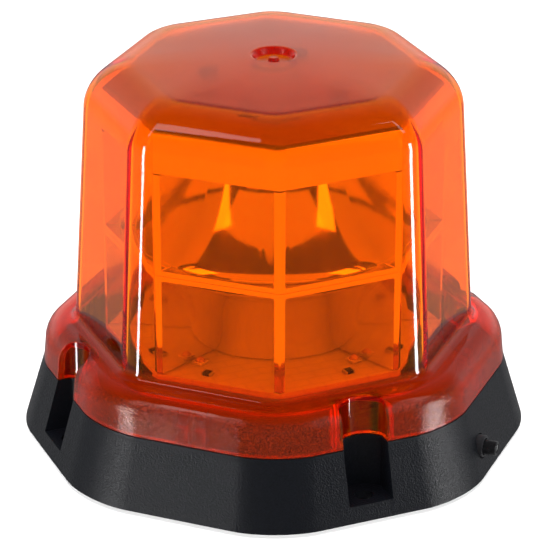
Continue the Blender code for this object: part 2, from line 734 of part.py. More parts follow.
def driver_board():
    rings = [octagon(DRIVER_BOARD_FLAT, DRIVER_BOARD_CORNER, z) for z in (DRIVER_UNDER, DRIVER_TOP)]
    board = add_part("driver_board", loft(rings), finish("green_fr4_driver_board", "1F5A34", 0.5))
    holes = tie_holes(THREAD_BORE, DRIVER_UNDER - OVERCUT, DRIVER_TOP + OVERCUT)
    combine(board, add_tool("driver_board_holes", holes))
    profile = ((CABLE_HOLE_RADIUS, DRIVER_UNDER - OVERCUT), (CABLE_HOLE_RADIUS, DRIVER_TOP + OVERCUT))
    combine(board, add_tool("driver_cable_hole", turned(profile, 20, GLAND_PLACE)))


def stack_slab(name, bottom, thickness, flat, material):
    """Octagonal plate of the stack, pierced for the ties and the link board."""
    top = bottom + thickness
    rings = [octagon(flat, STACK_CORNER, z, STACK_TURN) for z in (bottom, top)]
    slab = add_part(name, loft(rings), material)
    holes = tie_holes(THREAD_BORE, bottom - OVERCUT, top + OVERCUT)
    combine(slab, add_tool(name + "_tie_holes", holes))
    return slab


def carrier_plate():
    metal = finish("aluminium_carrier_plate", "B9BCC0", 0.35, metallic=1.0)
    plate = stack_slab("carrier_plate", PLATE_UNDER, PLATE_THICKNESS, STACK_FLAT, metal)
    combine(plate, add_tool("plate_link_slot", link_slot(PLATE_UNDER - OVERCUT, PLATE_TOP + OVERCUT)))


def lower_led_board():
    mask = finish("white_lower_led_board", "D8D6CC", 0.4)
    board = stack_slab("lower_led_board", LOWER_BOARD_UNDER, BOARD_THICKNESS, STACK_FLAT, mask)
    slot = link_slot(LOWER_BOARD_UNDER - OVERCUT, LOWER_BOARD_TOP + OVERCUT)
    combine(board, add_tool("lower_board_link_slot", slot))
    middle = LOWER_BOARD_UNDER + BOARD_THICKNESS / 2.0
    soldered = resistors(middle, LOWER_BOARD_TOP + RESISTOR_HEIGHT)
    combine(board, add_tool("lower_resistors", soldered), "UNION")


def upper_led_board():
    mask = finish("white_upper_led_board", "D8D6CC", 0.4)
    flat = STACK_FLAT - CAP_WALL - 2.0 * CLEARANCE
    board = stack_slab("upper_led_board", UPPER_BOARD_UNDER, BOARD_THICKNESS, flat, mask)
    middle = UPPER_BOARD_UNDER + BOARD_THICKNESS / 2.0
    soldered = resistors(UPPER_BOARD_UNDER - RESISTOR_HEIGHT, middle)
    combine(board, add_tool("upper_resistors", soldered), "UNION")


def standoffs():
    """Four hexagonal pillars, each with a stud below and a bore above."""
    hexagon = STANDOFF_FLAT / math.cos(math.pi / 6.0)
    bore_bottom = STANDOFF_TOP - TIE_DEPTH - THREAD_END_GAP
    stud_bottom = BOSS_TOP - STUD_DEPTH
    for number, place in enumerate(tie_places(), 1):
        name = f"standoff_{number}"
        body = turned(((hexagon, STANDOFF_UNDER), (hexagon, STANDOFF_TOP)), 6, place)
        pillar = add_part(name, body, finish("brass_" + name, "B08D4A", 0.3, metallic=1.0))
        stud = turned(((THREAD_RADIUS, stud_bottom), (THREAD_RADIUS, STANDOFF_UNDER + OVERCUT)), 12, place)
        combine(pillar, add_tool(name + "_stud", stud), "UNION")
        bore = turned(((THREAD_BORE, bore_bottom), (THREAD_BORE, STANDOFF_TOP + OVERCUT)), 12, place)
        combine(pillar, add_tool(name + "_bore", bore))


def tie_screws():
    """Four long screws from the cap down into the standoffs."""
    seat = CAP_TOP - CAP_COUNTERBORE_DEPTH + CLEARANCE
    top = seat + TIE_HEAD_HEIGHT
    profile = (
        (THREAD_RADIUS, STANDOFF_TOP - TIE_DEPTH),
        (THREAD_RADIUS, seat),
        (TIE_HEAD_RADIUS, seat),
        (TIE_HEAD_RADIUS, top),
        (TIE_SOCKET_RADIUS, top),
        (TIE_SOCKET_RADIUS, top - TIE_SOCKET_DEPTH),
    )
    for number, place in enumerate(tie_places(), 1):
        name = f"tie_screw_{number}"
        steel = finish("zinc_steel_" + name, "A9ABAD", 0.3, metallic=1.0)
        add_part(name, turned(profile, 12, place), steel)


def link_board():
    bottom = DRIVER_TOP + CLEARANCE + SOCKET_FLOOR + CLEARANCE
    size = (LINK_WIDTH, LINK_THICKNESS, UPPER_BOARD_UNDER - CLEARANCE - bottom)
    solid = box(size, (0.0, 0.0), bottom, STACK_TURN)
    add_part("link_board", solid, finish("green_fr4_link_board", "226038", 0.5))


def link_socket():
    bottom = DRIVER_TOP + CLEARANCE
    width = LINK_WIDTH + 2.0 * (LINK_SLOT_GAP + SOCKET_WALL)
    depth = LINK_THICKNESS + 2.0 * (LINK_SLOT_GAP + SOCKET_WALL)
    body = box((width, depth, SOCKET_HEIGHT), (0.0, 0.0), bottom, STACK_TURN)
    socket = add_part("link_socket", body, finish("black_nylon_socket", "222225", 0.5))
    slot = link_slot(bottom + SOCKET_FLOOR, bottom + SOCKET_HEIGHT + OVERCUT)
    combine(socket, add_tool("link_socket_slot", slot))


def link_headers():
    """One header on each lamp board, against the face of the link board."""
    shift = LINK_THICKNESS / 2.0 + CLEARANCE + HEADER_DEPTH / 2.0
    place = around(STACK_TURN, shift)[:2]
    size = (LINK_WIDTH, HEADER_DEPTH, HEADER_HEIGHT)
    lower = box(size, place, LOWER_BOARD_TOP + CLEARANCE, STACK_TURN)
    add_part("lower_header", lower, finish("black_nylon_lower_header", "222225", 0.5))
    upper = box(size, place, UPPER_BOARD_UNDER - CLEARANCE - HEADER_HEIGHT, STACK_TURN)
    add_part("upper_header", upper, finish("black_nylon_upper_header", "222225", 0.5))


# ---- Parts on the driver board ----

def driver_capacitors():
    bottom = DRIVER_TOP + CLEARANCE
    top = bottom + CAPACITOR_HEIGHT
    profile = (
        (CAPACITOR_RADIUS - 0.4, bottom),
        (CAPACITOR_RADIUS, bottom + 0.6),
        (CAPACITOR_RADIUS, top - 0.5),
        (CAPACITOR_RADIUS - 0.5, top),
    )
    for number, place in enumerate(CAPACITOR_PLACES, 1):
        name = f"capacitor_{number}"
        add_part(name, turned(profile, 20, place), finish("sleeved_" + name, "3C4250", 0.4))


def driver_inductors():
    bottom = DRIVER_TOP + CLEARANCE
    top = bottom + INDUCTOR_HEIGHT
    profile = (
        (INDUCTOR_RADIUS, bottom),
        (INDUCTOR_RADIUS, bottom + INDUCTOR_FLANGE),
        (INDUCTOR_WAIST, bottom + INDUCTOR_FLANGE),
        (INDUCTOR_WAIST, top - INDUCTOR_FLANGE),
        (INDUCTOR_RADIUS, top - INDUCTOR_FLANGE),
        (INDUCTOR_RADIUS, top),
    )
    for number, place in enumerate(INDUCTOR_PLACES, 1):
        name = f"inductor_{number}"
        add_part(name, turned(profile, 20, place), finish("ferrite_" + name, "3A3735", 0.6))


def driver_chips():
    for number, place in enumerate(CHIP_PLACES, 1):
        name = f"driver_chip_{number}"
        add_part(name, box(CHIP_SIZE, place, DRIVER_TOP + CLEARANCE), finish("epoxy_" + name, "1A1B1D", 0.45))


def power_terminal():
    solid = box(TERMINAL_SIZE, TERMINAL_PLACE, DRIVER_TOP + CLEARANCE)
    add_part("power_terminal", solid, finish("green_nylon_terminal", "2C6E3F", 0.5))


# ---- Lamps ----

def cell_bearings():
    """Middle bearing of each cell, with the side on which its parts lie."""
    bearings = []
    for cell in range(SIDES):
        bearings.append((SIDE_ANGLE * cell + STACK_TURN, 1.0 if cell % 2 == 0 else -1.0))
    return bearings


def lamp(place, turn, base, rise):
    """Square package with a low dome, built up (+1) or down (-1) from its board."""
    seat = base + rise * LAMP_HEIGHT
    package = box((LAMP_SIZE, LAMP_SIZE, LAMP_HEIGHT), place, min(base, seat), turn)
    dome = []
    for lift, share in ((-0.3, 1.0), (0.45, 0.89), (0.85, 0.5)):
        dome.append((LAMP_DOME_RADIUS * share, seat + rise * LAMP_DOME_RADIUS * lift))
    return package, turned(dome, 10, place)


def lamps(tier_name, base, rise):
    """One lamp in each of the eight cells."""
    for number, (bearing, side) in enumerate(cell_bearings(), 1):
        name = f"{tier_name}_led_{number}"
        angle = bearing + side * LAMP_ANGLE
        package, dome = lamp(around(angle, LAMP_CIRCLE)[:2], angle, base, rise)
        led = add_part(name, package, finish("yellow_phosphor_" + name, "E8C45A", 0.3))
        combine(led, add_tool(name + "_dome", dome), "UNION")


def resistors(bottom, top):
    """Soldered resistors, one in each cell, that are one piece with their board."""
    solids = []
    for bearing, side in cell_bearings():
        angle = bearing + side * RESISTOR_ANGLE
        size = (RESISTOR_LENGTH, RESISTOR_WIDTH, top - bottom)
        solids.append(box(size, around(angle, RESISTOR_CIRCLE)[:2], bottom, angle))
    return joined(solids)


# ---- Reflector ----

def bowl_radius(rise):
    """Radius of the bowl at a height above the tier's board side."""
    return BOWL_NECK + BOWL_CURVE * rise ** 2


def cell_levels():
    """Heights of the cell cutter's sections, closer together in the top fillet."""
    roof = TIER_HEIGHT - DIVIDER_THICKNESS
    start = roof - CELL_FILLET
    levels = [start * step / BOWL_STEPS for step in range(BOWL_STEPS + 1)]
    for step in range(1, CELL_FILLET_STEPS + 1):
        levels.append(start + CELL_FILLET * math.sin(math.pi / 2.0 * step / CELL_FILLET_STEPS))
    return levels


def cell_section(bearing, rise, height):
    """Plan of one cell: arc of the bowl inside, straight cheeks along the two ribs."""
    roof = TIER_HEIGHT - DIVIDER_THICKNESS
    into = max(0.0, rise - (roof - CELL_FILLET))
    narrowing = CELL_FILLET - math.sqrt(max(0.0, CELL_FILLET ** 2 - into ** 2))
    cheek = RIB_HALF + narrowing
    inner = min(bowl_radius(rise), STACK_FLAT - BOWL_EDGE)
    half = 180.0 / SIDES
    swing = half - math.degrees(math.asin(cheek / inner))
    section = []
    for step in range(BOWL_ARC_STEPS + 1):
        angle = bearing - swing + 2.0 * swing * step / BOWL_ARC_STEPS
        section.append(around(angle, inner, height))
    outer = STACK_RADIUS + CELL_OUTREACH
    wide = half - math.degrees(math.asin(cheek / outer))
    section.append(around(bearing + wide, outer, height))
    section.append(around(bearing - wide, outer, height))
    return section


def tier(name, board_side, rise_sign, material):
    """One tier of eight cells, rising (+1) or hanging (-1) from its board side."""
    far_side = board_side + rise_sign * TIER_HEIGHT
    rings = [octagon(STACK_FLAT, STACK_CORNER, z, STACK_TURN) for z in (board_side, far_side)]
    body = add_part(name, loft(rings), material)
    cells = []
    for bearing, _ in cell_bearings():
        sections = [cell_section(bearing, -OVERCUT, board_side - rise_sign * OVERCUT)]
        for rise in cell_levels():
            sections.append(cell_section(bearing, rise, board_side + rise_sign * rise))
        cells.append(loft(sections))
    combine(body, add_tool(name + "_cells", joined(cells)))
    core = [(BOWL_NECK - BOWL_WALL, board_side - rise_sign * OVERCUT)]
    for step in range(BOWL_STEPS + 1):
        rise = TIER_HEIGHT * step / BOWL_STEPS
        radius = min(bowl_radius(rise), STACK_FLAT - BOWL_EDGE) - BOWL_WALL
        core.append((radius, board_side + rise_sign * rise))
    core.append((core[-1][0], far_side + rise_sign * OVERCUT))
    combine(body, add_tool(name + "_core", turned(core, 32)))


def lower_reflector():
    mirror = finish("metallised_lower_reflector", "D9D9D6", 0.12, metallic=1.0)
    tier("lower_reflector", LOWER_TIER_UNDER, 1.0, mirror)


def upper_reflector():
    mirror = finish("metallised_upper_reflector", "D9D9D6", 0.12, metallic=1.0)
    tier("upper_reflector", UPPER_TIER_TOP, -1.0, mirror)


def reflector_cap():
    """Octagonal lid over the upper board, with a column round each tie screw."""
    rings = [octagon(STACK_FLAT, STACK_CORNER, z, STACK_TURN) for z in (CAP_UNDER, CAP_TOP - CAP_EDGE)]
    rings.append(octagon(STACK_FLAT - CAP_EDGE, STACK_CORNER, CAP_TOP, STACK_TURN))
    cap = add_part("reflector_cap", loft(rings), finish("metallised_reflector_cap", "D9D9D6", 0.2, 1.0))
    ceiling = CAP_TOP - CAP_WALL
    hollow = loft([octagon(STACK_FLAT - CAP_WALL, STACK_CORNER, z, STACK_TURN) for z in (CAP_UNDER - OVERCUT, ceiling)])
    combine(cap, add_tool("cap_hollow", hollow))
    foot = UPPER_BOARD_TOP + CLEARANCE
    columns = tie_holes(CAP_COLUMN_RADIUS, foot, CAP_TOP - CAP_WALL / 2.0)
    combine(cap, add_tool("cap_columns", columns), "UNION")
    combine(cap, add_tool("cap_bores", tie_holes(THREAD_BORE, foot - OVERCUT, CAP_TOP + OVERCUT)))
    seat = CAP_TOP - CAP_COUNTERBORE_DEPTH
    counterbores = tie_holes(TIE_HEAD_RADIUS + CLEARANCE, seat, CAP_TOP + OVERCUT)
    combine(cap, add_tool("cap_counterbores", counterbores))


def clear_scene():
    for obj in list(bpy.data.objects):
        bpy.data.objects.remove(obj, do_unlink=True)


def build():
    clear_scene()
    mounting_pad()
    base_housing()
    lens_seal()
    lens_dome()
    cable_gland()
    button_bush()
    mode_button()
    button_switch()
    driver_board()
    driver_capacitors()
    driver_inductors()
    driver_chips()
    power_terminal()
    standoffs()
    carrier_plate()
    link_socket()
    link_board()
    link_headers()
    lower_led_board()
    lamps("lower", LOWER_BOARD_TOP + CLEARANCE, 1.0)
    lower_reflector()
    upper_reflector()
    upper_led_board()
    lamps("upper", UPPER_BOARD_UNDER - CLEARANCE, -1.0)
    reflector_cap()
    tie_screws()


build()
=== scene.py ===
"""Amber warning beacon: moulded lens, black base, metallised reflectors, lamps and a plain studio."""

import json
import math

import bmesh
import bpy
from mathutils import Matrix, Vector

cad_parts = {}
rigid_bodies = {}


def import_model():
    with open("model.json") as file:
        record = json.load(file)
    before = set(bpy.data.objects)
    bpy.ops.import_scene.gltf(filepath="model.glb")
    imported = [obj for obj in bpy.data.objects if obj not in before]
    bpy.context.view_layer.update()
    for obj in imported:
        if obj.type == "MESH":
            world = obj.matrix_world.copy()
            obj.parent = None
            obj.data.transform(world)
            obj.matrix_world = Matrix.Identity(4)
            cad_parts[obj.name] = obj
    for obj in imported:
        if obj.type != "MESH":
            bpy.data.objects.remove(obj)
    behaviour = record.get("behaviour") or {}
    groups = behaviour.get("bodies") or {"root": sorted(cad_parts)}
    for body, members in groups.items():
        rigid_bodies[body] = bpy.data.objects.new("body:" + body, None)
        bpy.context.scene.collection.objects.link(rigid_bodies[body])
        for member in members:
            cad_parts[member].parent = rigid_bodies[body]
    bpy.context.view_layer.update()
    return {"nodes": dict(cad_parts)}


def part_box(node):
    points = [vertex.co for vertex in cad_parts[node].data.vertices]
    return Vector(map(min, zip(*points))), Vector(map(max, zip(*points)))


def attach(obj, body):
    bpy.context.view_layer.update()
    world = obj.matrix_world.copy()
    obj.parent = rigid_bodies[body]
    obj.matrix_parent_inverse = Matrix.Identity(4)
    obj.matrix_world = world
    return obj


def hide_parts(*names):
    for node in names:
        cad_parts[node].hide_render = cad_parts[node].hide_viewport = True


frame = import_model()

bl_info = {
    "name": "Warning Beacon",
    "version": (1, 0, 0),
    "blender": (4, 5, 0),
    "location": "3D View > Sidebar > Beacon",
    "description": "Builds an octagonal amber warning beacon and its studio",
    "category": "Object",
}

MM = 0.001
SIDES = 8
SIDE_ANGLE = 360.0 / SIDES
FLAT_TO_CORNER = 1.0 / math.cos(math.pi / SIDES)
CORNER_RUN = math.tan(math.pi / SIDES)
RIGHT_ANGLES = (0.0, 90.0, 180.0, 270.0)
DIAGONALS = (45.0, 135.0, 225.0, 315.0)
OVERCUT = 1.0 * MM
GAP = 0.3 * MM
TIE_HOLE_RADIUS = 1.7 * MM
CABLE_HOLE_PLACE = (0.0, 29.0 * MM)
BOWL_MARGIN = 0.9 * MM
TOUCH = 1e-6
SENSOR_WIDTH = 36.0
BOUNCES = 64


# ---- Settings ----

def linear(code):
    """Scene-linear colour from six sRGB hex digits."""
    shades = [int(code[start:start + 2], 16) / 255.0 for start in (0, 2, 4)]
    return tuple(s / 12.92 if s <= 0.04045 else ((s + 0.055) / 1.055) ** 2.4 for s in shades)


def length(name, description, millimetres):
    return bpy.props.FloatProperty(
        name=name, description=description, default=millimetres * MM, min=-1.0, max=1.0,
        unit="LENGTH", precision=5)


def colour(name, description, code):
    return bpy.props.FloatVectorProperty(
        name=name, description=description, default=linear(code), min=0.0, max=1.0, subtype="COLOR")


def number(name, description, default):
    return bpy.props.FloatProperty(name=name, description=description, default=default)


def angle_setting(name, description, degrees):
    return bpy.props.FloatProperty(
        name=name, description=description, default=math.radians(degrees), subtype="ANGLE")


def node_bottom(name):
    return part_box(name)[0][2] / MM


def node_top(name):
    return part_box(name)[1][2] / MM


class BaseSettings(bpy.types.PropertyGroup):
    foot_flat: length("Foot flat", "Axis to a side of the base at its foot", 73.9)
    foot_corner: length("Foot corner", "Corner radius of the base at its foot", 33.0)
    rim_flat: length("Rim flat", "Axis to a side of the base at its rim", 67.8)
    rim_corner: length("Rim corner", "Corner radius of the base at its rim", 30.0)
    bottom: length("Base bottom", "Height of the lower edge of the base", node_bottom("base_housing"))
    rim_height: length("Rim height", "Height of the rim that the lens sits on", node_top("lens_seal"))
    wall: length("Base wall", "Wall thickness of the base", 3.0)
    floor_under: length("Floor underside", "Height of the underside of the floor", 3.3)
    floor_top: length("Floor top", "Height of the top of the floor", 6.0)
    pad_top: length("Pad thickness", "Thickness of the rubber pad", node_top("mounting_pad"))
    pad_lip: length("Pad lip", "Step from the foot of the base in to the pad", 2.0)
    pad_corner: length("Pad corner", "Corner radius of the rubber pad", 31.0)
    edge: length("Edge radius", "Small radius on the moulded edges of the base", 0.45)
    plastic: colour("Base plastic", "Charcoal of the textured base", "0D0F14")
    rubber: colour("Pad rubber", "Black of the rubber pad", "17181A")


class RecessSettings(bpy.types.PropertyGroup):
    half_width: length("Half width", "Half the width of a screw recess", 7.0)
    arc: length("Back radius", "Radius of the arched back of a recess", 8.5)
    back: length("Back", "Axis to the back of a recess", 60.2)
    reach: length("Reach", "How far out a recess is cut", 79.9)
    wall: length("Wall", "Wall of the lens and the base round a recess", 2.8)
    hole_radius: length("Screw hole radius", "Radius of a mounting screw hole", 2.7)
    hole_circle: length("Screw hole circle", "Axis to a mounting screw hole", 66.8)


class LensSettings(bpy.types.PropertyGroup):
    bottom: length("Lens bottom", "Height of the lower edge of the lens", node_bottom("lens_dome"))
    top: length("Crown height", "Height of the top of the lens", node_top("lens_dome"))
    wall: length("Lens wall", "Wall thickness of the lens", 2.6)
    skirt_draft: length("Skirt draft", "How much the skirt narrows upward", 0.5)
    skirt_side: length("Skirt side", "Height of the upright side of the skirt", 5.6)
    skirt_round: length("Shoulder radius", "Radius from the skirt to the shoulder", 6.6)
    foot_flat: length("Dome foot flat", "Axis to a side of the dome at its foot", 56.8)
    top_flat: length("Dome top flat", "Axis to a side of the dome at its top", 53.1)
    corner: length("Dome corner", "Corner radius of the dome", 11.0)
    foot_fillet: length("Foot fillet", "Fillet between the shoulder and the dome", 2.5)
    top_fillet: length("Top radius", "Radius from the dome's sides to its crown", 15.0)
    crown_rise: length("Crown rise", "How much the crown bulges", 1.8)
    dimple_radius: length("Dimple radius", "Radius of the dimple in the crown", 6.2)
    dimple_depth: length("Dimple depth", "Depth of the dimple in the crown", 2.0)
    nub_radius: length("Nub radius", "Radius of the moulding point in the dimple", 1.4)
    nub_height: length("Nub height", "Height of the moulding point in the dimple", 1.1)
    edge: length("Edge radius", "Small radius on the cut edges of the lens", 0.4)
    amber: colour("Amber", "Tint of the clear lens through one wall", "FEB418")
    depth_tint: colour("Depth tint", "What the lens lets through in one wall's thickness", "FDE0B4")
    # Painted shade: the bend tint is a darker amber for the band where the dome bends into the crown, standing
    # in for the shade on that fillet.
    bend: colour("Bend tint", "Tint of the lens where it bends into the crown", "EBA618")
    crown: colour("Crown tint", "Tint of the satin crown", "F9CC1C")
    frost: colour("Cloudy amber", "Tint of the skirt, which scatters some light", "F2500A")
    speck: colour("Speck tint", "Tint of the dark specks in the grained skirt", "70300F")
    refraction: bpy.props.FloatProperty(
        name="Refraction", description="Refractive index of the lens", default=1.42, min=1.0, max=2.0)


class CatchSettings(bpy.types.PropertyGroup):
    prong_width: length("Prong width", "Width of a snap prong and its catch", 3.0)
    prong_spread: length("Prong spread", "Middle of the pair to the middle of a prong", 2.8)
    prong_thickness: length("Prong thickness", "Thickness of a snap prong", 2.2)
    prong_nib: length("Prong nib", "How far the hook of a prong stands out", 1.3)
    catch_height: length("Catch height", "Height of a catch inside the lens", 3.8)
    catch_depth: length("Catch depth", "How far a catch stands in from the skirt", 2.0)
    catch_to_prong: length("Catch gap", "Gap between a prong and its catch", 0.6)


class ReflectorSettings(bpy.types.PropertyGroup):
    turn: angle_setting("Stack turn", "Turn of the reflector stack against the lens", 1.5)
    radius: length("Stack radius", "Axis to a corner of the reflector stack", 49.8)
    corner: length("Stack corner", "Corner radius of the reflector stack", 1.0)
    divider: length("Divider", "Thickness of the plate between the tiers", 1.5)
    neck: length("Bowl neck", "Bowl radius beside the lamp board", 27.3)
    mouth: length("Bowl mouth", "Bowl radius at the divider", 48.3679)
    rib_half: length("Half rib", "Half the thickness of a rib", 1.6)
    fillet: length("Cell fillet", "Fillet between the ribs and the divider", 2.2)
    bowl_wall: length("Bowl wall", "Wall thickness behind a bowl", 1.8)
    cap_wall: length("Cap wall", "Wall thickness of the cap", 1.8)
    cap_edge: length("Cap edge", "Bevel round the top of the cap", 1.0)
    edge: length("Edge radius", "Small radius on the ribs and the divider", 0.5)
    tie_circle: length("Tie circle", "Axis to a tie screw", 20.0)
    metal: colour("Reflector metal", "Vapour-deposited aluminium on the reflectors", "F1EEE8")


class LampSettings(bpy.types.PropertyGroup):
    circle: length("Lamp circle", "Axis to the middle of a lamp", 36.5)
    bearing: angle_setting("Lamp bearing", "Turn of a lamp from the middle of its cell", 15.5)
    size: length("Lamp size", "Side of the square lamp package", 3.6)
    height: length("Lamp height", "Height of the square lamp package", 0.8)
    dome: length("Lamp dome", "Radius of the clear dome on a lamp", 1.3)
    resistor_circle: length("Resistor circle", "Axis to the middle of a resistor", 41.5)
    resistor_bearing: angle_setting("Resistor bearing", "Turn of a resistor from the middle of its cell", 7.0)
    resistor_length: length("Resistor length", "Length of a resistor", 3.2)
    resistor_width: length("Resistor width", "Width of a resistor", 2.5)
    resistor_height: length("Resistor height", "Height of a resistor", 1.0)
    mask: colour("Solder mask", "White lacquer of the lamp boards", "E4E1D6")
    phosphor: colour("Phosphor", "Yellow phosphor under a lamp's dome", "E9B93C")


class ButtonSettings(bpy.types.PropertyGroup):
    bearing: angle_setting("Button bearing", "Side of the base that the button is on", 45.0)
    offset: length("Button offset", "Middle of the side to the button", -12.0)
    height: length("Button height", "Height of the middle of the button", 9.5)
    radius: length("Button radius", "Radius of the button", 2.25)
    reach: length("Button reach", "How far the button stands out of the wall", 5.0)
    bush_radius: length("Bush radius", "Radius of the bush that guides the button", 3.4)
    bush_reach: length("Bush reach", "How far the bush stands out of the wall", 1.3)
    plastic: colour("Button plastic", "Black of the glossy button", "101012")


class StageSettings(bpy.types.PropertyGroup):
    azimuth: angle_setting("Azimuth", "Bearing of the camera", -23.03)
    elevation: angle_setting("Elevation", "Camera's height angle", 24.588)
    distance: length("Distance", "Camera to the point it looks at", 878.05)
    target_height: length("Target height", "Height of the point the camera looks at", 48.153)
    focal_length: number("Focal length", "Camera lens on a 36 mm sensor, in millimetres", 188.78)
    shift: number("Shift", "Sideways camera shift", 0.0023)
    floor: colour("Floor", "Pale studio floor", "F2F2F2")
    world: colour("Surroundings", "Pale room round the stage", "F4F4F6")
    back_light: number("Back wall", "Brightness of the wall behind the beacon", 0.95)
    front_light: number("Front of the room", "Brightness of the room round the camera", 0.10)
    table_light: number("Table", "Brightness of the room below the horizon", 0.35)
    key_strength: number("Overhead light", "Watts of the overhead softbox", 12.0)
    side_strength: number("Side light", "Watts of each low side softbox", 32.0)
    upper_strength: number("Upper side light", "Watts of each softbox above those", 1.6)
    panel_strength: number("Panel light", "Watts of each panel that lights the reflectors", 1.5)
    low_strength: number("Low light", "Watts of the panel under the camera", 0.8)
    wash_strength: number("Table wash", "Strength of the light on the table alone", 2.8)
    front_strength: number("Front light", "Watts of the panel over the camera", 2.7)


SETTINGS = {
    "beacon_base": BaseSettings,
    "beacon_recess": RecessSettings,
    "beacon_lens": LensSettings,
    "beacon_catch": CatchSettings,
    "beacon_reflector": ReflectorSettings,
    "beacon_lamp": LampSettings,
    "beacon_button": ButtonSettings,
    "beacon_stage": StageSettings,
}


# ---- Modelling helpers ----

def shelf_height(lens):
    return lens.bottom + lens.skirt_side + lens.skirt_round


def around(angle, radius, height=0.0):
    """Point at a bearing in degrees: 0 is -Y and 90 is +X."""
    bearing = math.radians(angle)
    return Vector((radius * math.sin(bearing), -radius * math.cos(bearing), height))


def turned_z(degrees):
    return Matrix.Rotation(math.radians(degrees), 4, "Z")


def octagon(bm, flat, corner, height, turn=0.0, steps=8):
    """Loop of eight sides with rounded corners; flat is the distance from the axis to a side."""
    before = set(bm.edges)
    place = Matrix.Translation((0.0, 0.0, height)) @ turned_z(turn + SIDE_ANGLE / 2.0)
    made = bmesh.ops.create_circle(bm, segments=SIDES, radius=flat * FLAT_TO_CORNER, matrix=place)
    bmesh.ops.bevel(
        bm, geom=made["verts"], offset=corner * CORNER_RUN, offset_type="OFFSET",
        segments=steps, profile=0.5, affect="VERTICES", material=-1)
    return [edge for edge in bm.edges if edge not in before]


def hoop(bm, radius, height, centre=(0.0, 0.0), count=48):
    before = set(bm.edges)
    place = Matrix.Translation((centre[0], centre[1], height))
    bmesh.ops.create_circle(bm, segments=count, radius=radius, matrix=place)
    return [edge for edge in bm.edges if edge not in before]


def skinned(bm, loops, closed=False):
    """Bridge loops in order; end faces close the solid unless it runs back to its first loop."""
    pairs = list(zip(loops, loops[1:]))
    if closed:
        pairs.append((loops[-1], loops[0]))
    else:
        bmesh.ops.contextual_create(bm, geom=loops[0])
        bmesh.ops.contextual_create(bm, geom=loops[-1])
    for lower, upper in pairs:
        # Loops at one height bridge with a twist, so one is lifted while they are joined.
        points = list({v for edge in upper for v in edge.verts})
        bmesh.ops.translate(bm, verts=points, vec=(0.0, 0.0, 1.0))
        bmesh.ops.bridge_loops(bm, edges=lower + upper)
        bmesh.ops.translate(bm, verts=points, vec=(0.0, 0.0, -1.0))
    bmesh.ops.recalc_face_normals(bm, faces=bm.faces)
    return bm


def octagon_solid(rings, turn=0.0, steps=8):
    """Closed solid through (flat, corner, height) rings."""
    bm = bmesh.new()
    return skinned(bm, [octagon(bm, *ring, turn, steps) for ring in rings])


def tube(profile, centre=(0.0, 0.0), count=48, closed=False):
    """Solid of revolution through (radius, height) pairs."""
    bm = bmesh.new()
    return skinned(bm, [hoop(bm, radius, height, centre, count) for radius, height in profile], closed)


def block(bm, size, place):
    """Cuboid in a bmesh, sized before it is placed."""
    stretch = Matrix.Diagonal((*size, 1.0))
    return bmesh.ops.create_cube(bm, size=1.0, matrix=place @ stretch)["verts"]


def radial(angle, offset, height):
    """Frame at a bearing: X across the side, Y outward, Z up."""
    side = around(angle + 90.0, offset)
    return Matrix.Translation((side.x, side.y, height)) @ turned_z(angle - 180.0)


def radial_block(bm, angle, inner, outer, offset, width, bottom, top):
    middle = Matrix.Translation((0.0, (inner + outer) / 2.0, (bottom + top) / 2.0))
    return block(bm, (width, outer - inner, top - bottom), radial(angle, offset, 0.0) @ middle)


def rounded(bm, edges, radius, steps=3):
    bmesh.ops.bevel(
        bm, geom=list(edges), offset=radius, offset_type="OFFSET", segments=steps,
        profile=0.5, affect="EDGES", clamp_overlap=True, material=-1)


def copied_round(bm, angles):
    """Copy what is in the bmesh to each bearing."""
    first = bm.verts[:] + bm.edges[:] + bm.faces[:]
    for angle in angles[1:]:
        copy = bmesh.ops.duplicate(bm, geom=first)["geom"]
        points = [part for part in copy if isinstance(part, bmesh.types.BMVert)]
        bmesh.ops.rotate(bm, verts=points, cent=(0, 0, 0), matrix=turned_z(angle - angles[0]).to_3x3())
    return bm


def new_piece(name, bm, *materials, sharp=32.0):
    """Object at the origin from a bmesh in metres, smooth between its sharp edges."""
    mesh = bpy.data.meshes.new(name)
    bm.to_mesh(mesh)
    bm.free()
    for material in materials:
        mesh.materials.append(material)
    mesh.shade_smooth()
    mesh.set_sharp_from_angle(angle=math.radians(sharp))
    piece = bpy.data.objects.new(name, mesh)
    bpy.context.scene.collection.objects.link(piece)
    return piece


def settle(piece):
    """Replace the mesh by what its modifiers make of it."""
    shaped = piece.evaluated_get(bpy.context.evaluated_depsgraph_get())
    mesh = bpy.data.meshes.new_from_object(shaped)
    plain = piece.data
    piece.modifiers.clear()
    piece.data = mesh
    bpy.data.meshes.remove(plain)
    mesh.name = piece.name


def carve(piece, bm, operation="DIFFERENCE"):
    """Cut a solid out of a piece, or join it on."""
    tool = new_piece("carving_tool", bm)
    change = piece.modifiers.new("carve", "BOOLEAN")
    change.object = tool
    change.operation = operation
    change.solver = "EXACT"
    settle(piece)
    bpy.data.objects.remove(tool, do_unlink=True)


def cleaned(piece, distance=0.01 * MM):
    """Merge the doubles and slivers that cuts leave."""
    bm = bmesh.new()
    bm.from_mesh(piece.data)
    bmesh.ops.remove_doubles(bm, verts=bm.verts, dist=distance)
    bmesh.ops.dissolve_degenerate(bm, edges=bm.edges, dist=distance)
    bm.to_mesh(piece.data)
    bm.free()


def soften(piece, radius, steps=2, angle=38.0, sharp=50.0):
    """Small radius on the sharp edges, with normals that keep the flats flat."""
    edge = piece.modifiers.new("edge", "BEVEL")
    edge.width = radius
    edge.segments = steps
    edge.limit_method = "ANGLE"
    edge.angle_limit = math.radians(angle)
    edge.profile = 0.5
    settle(piece)
    piece.data.shade_smooth()
    piece.data.set_sharp_from_angle(angle=math.radians(sharp))
    weight = piece.modifiers.new("flats", "WEIGHTED_NORMAL")
    weight.keep_sharp = True


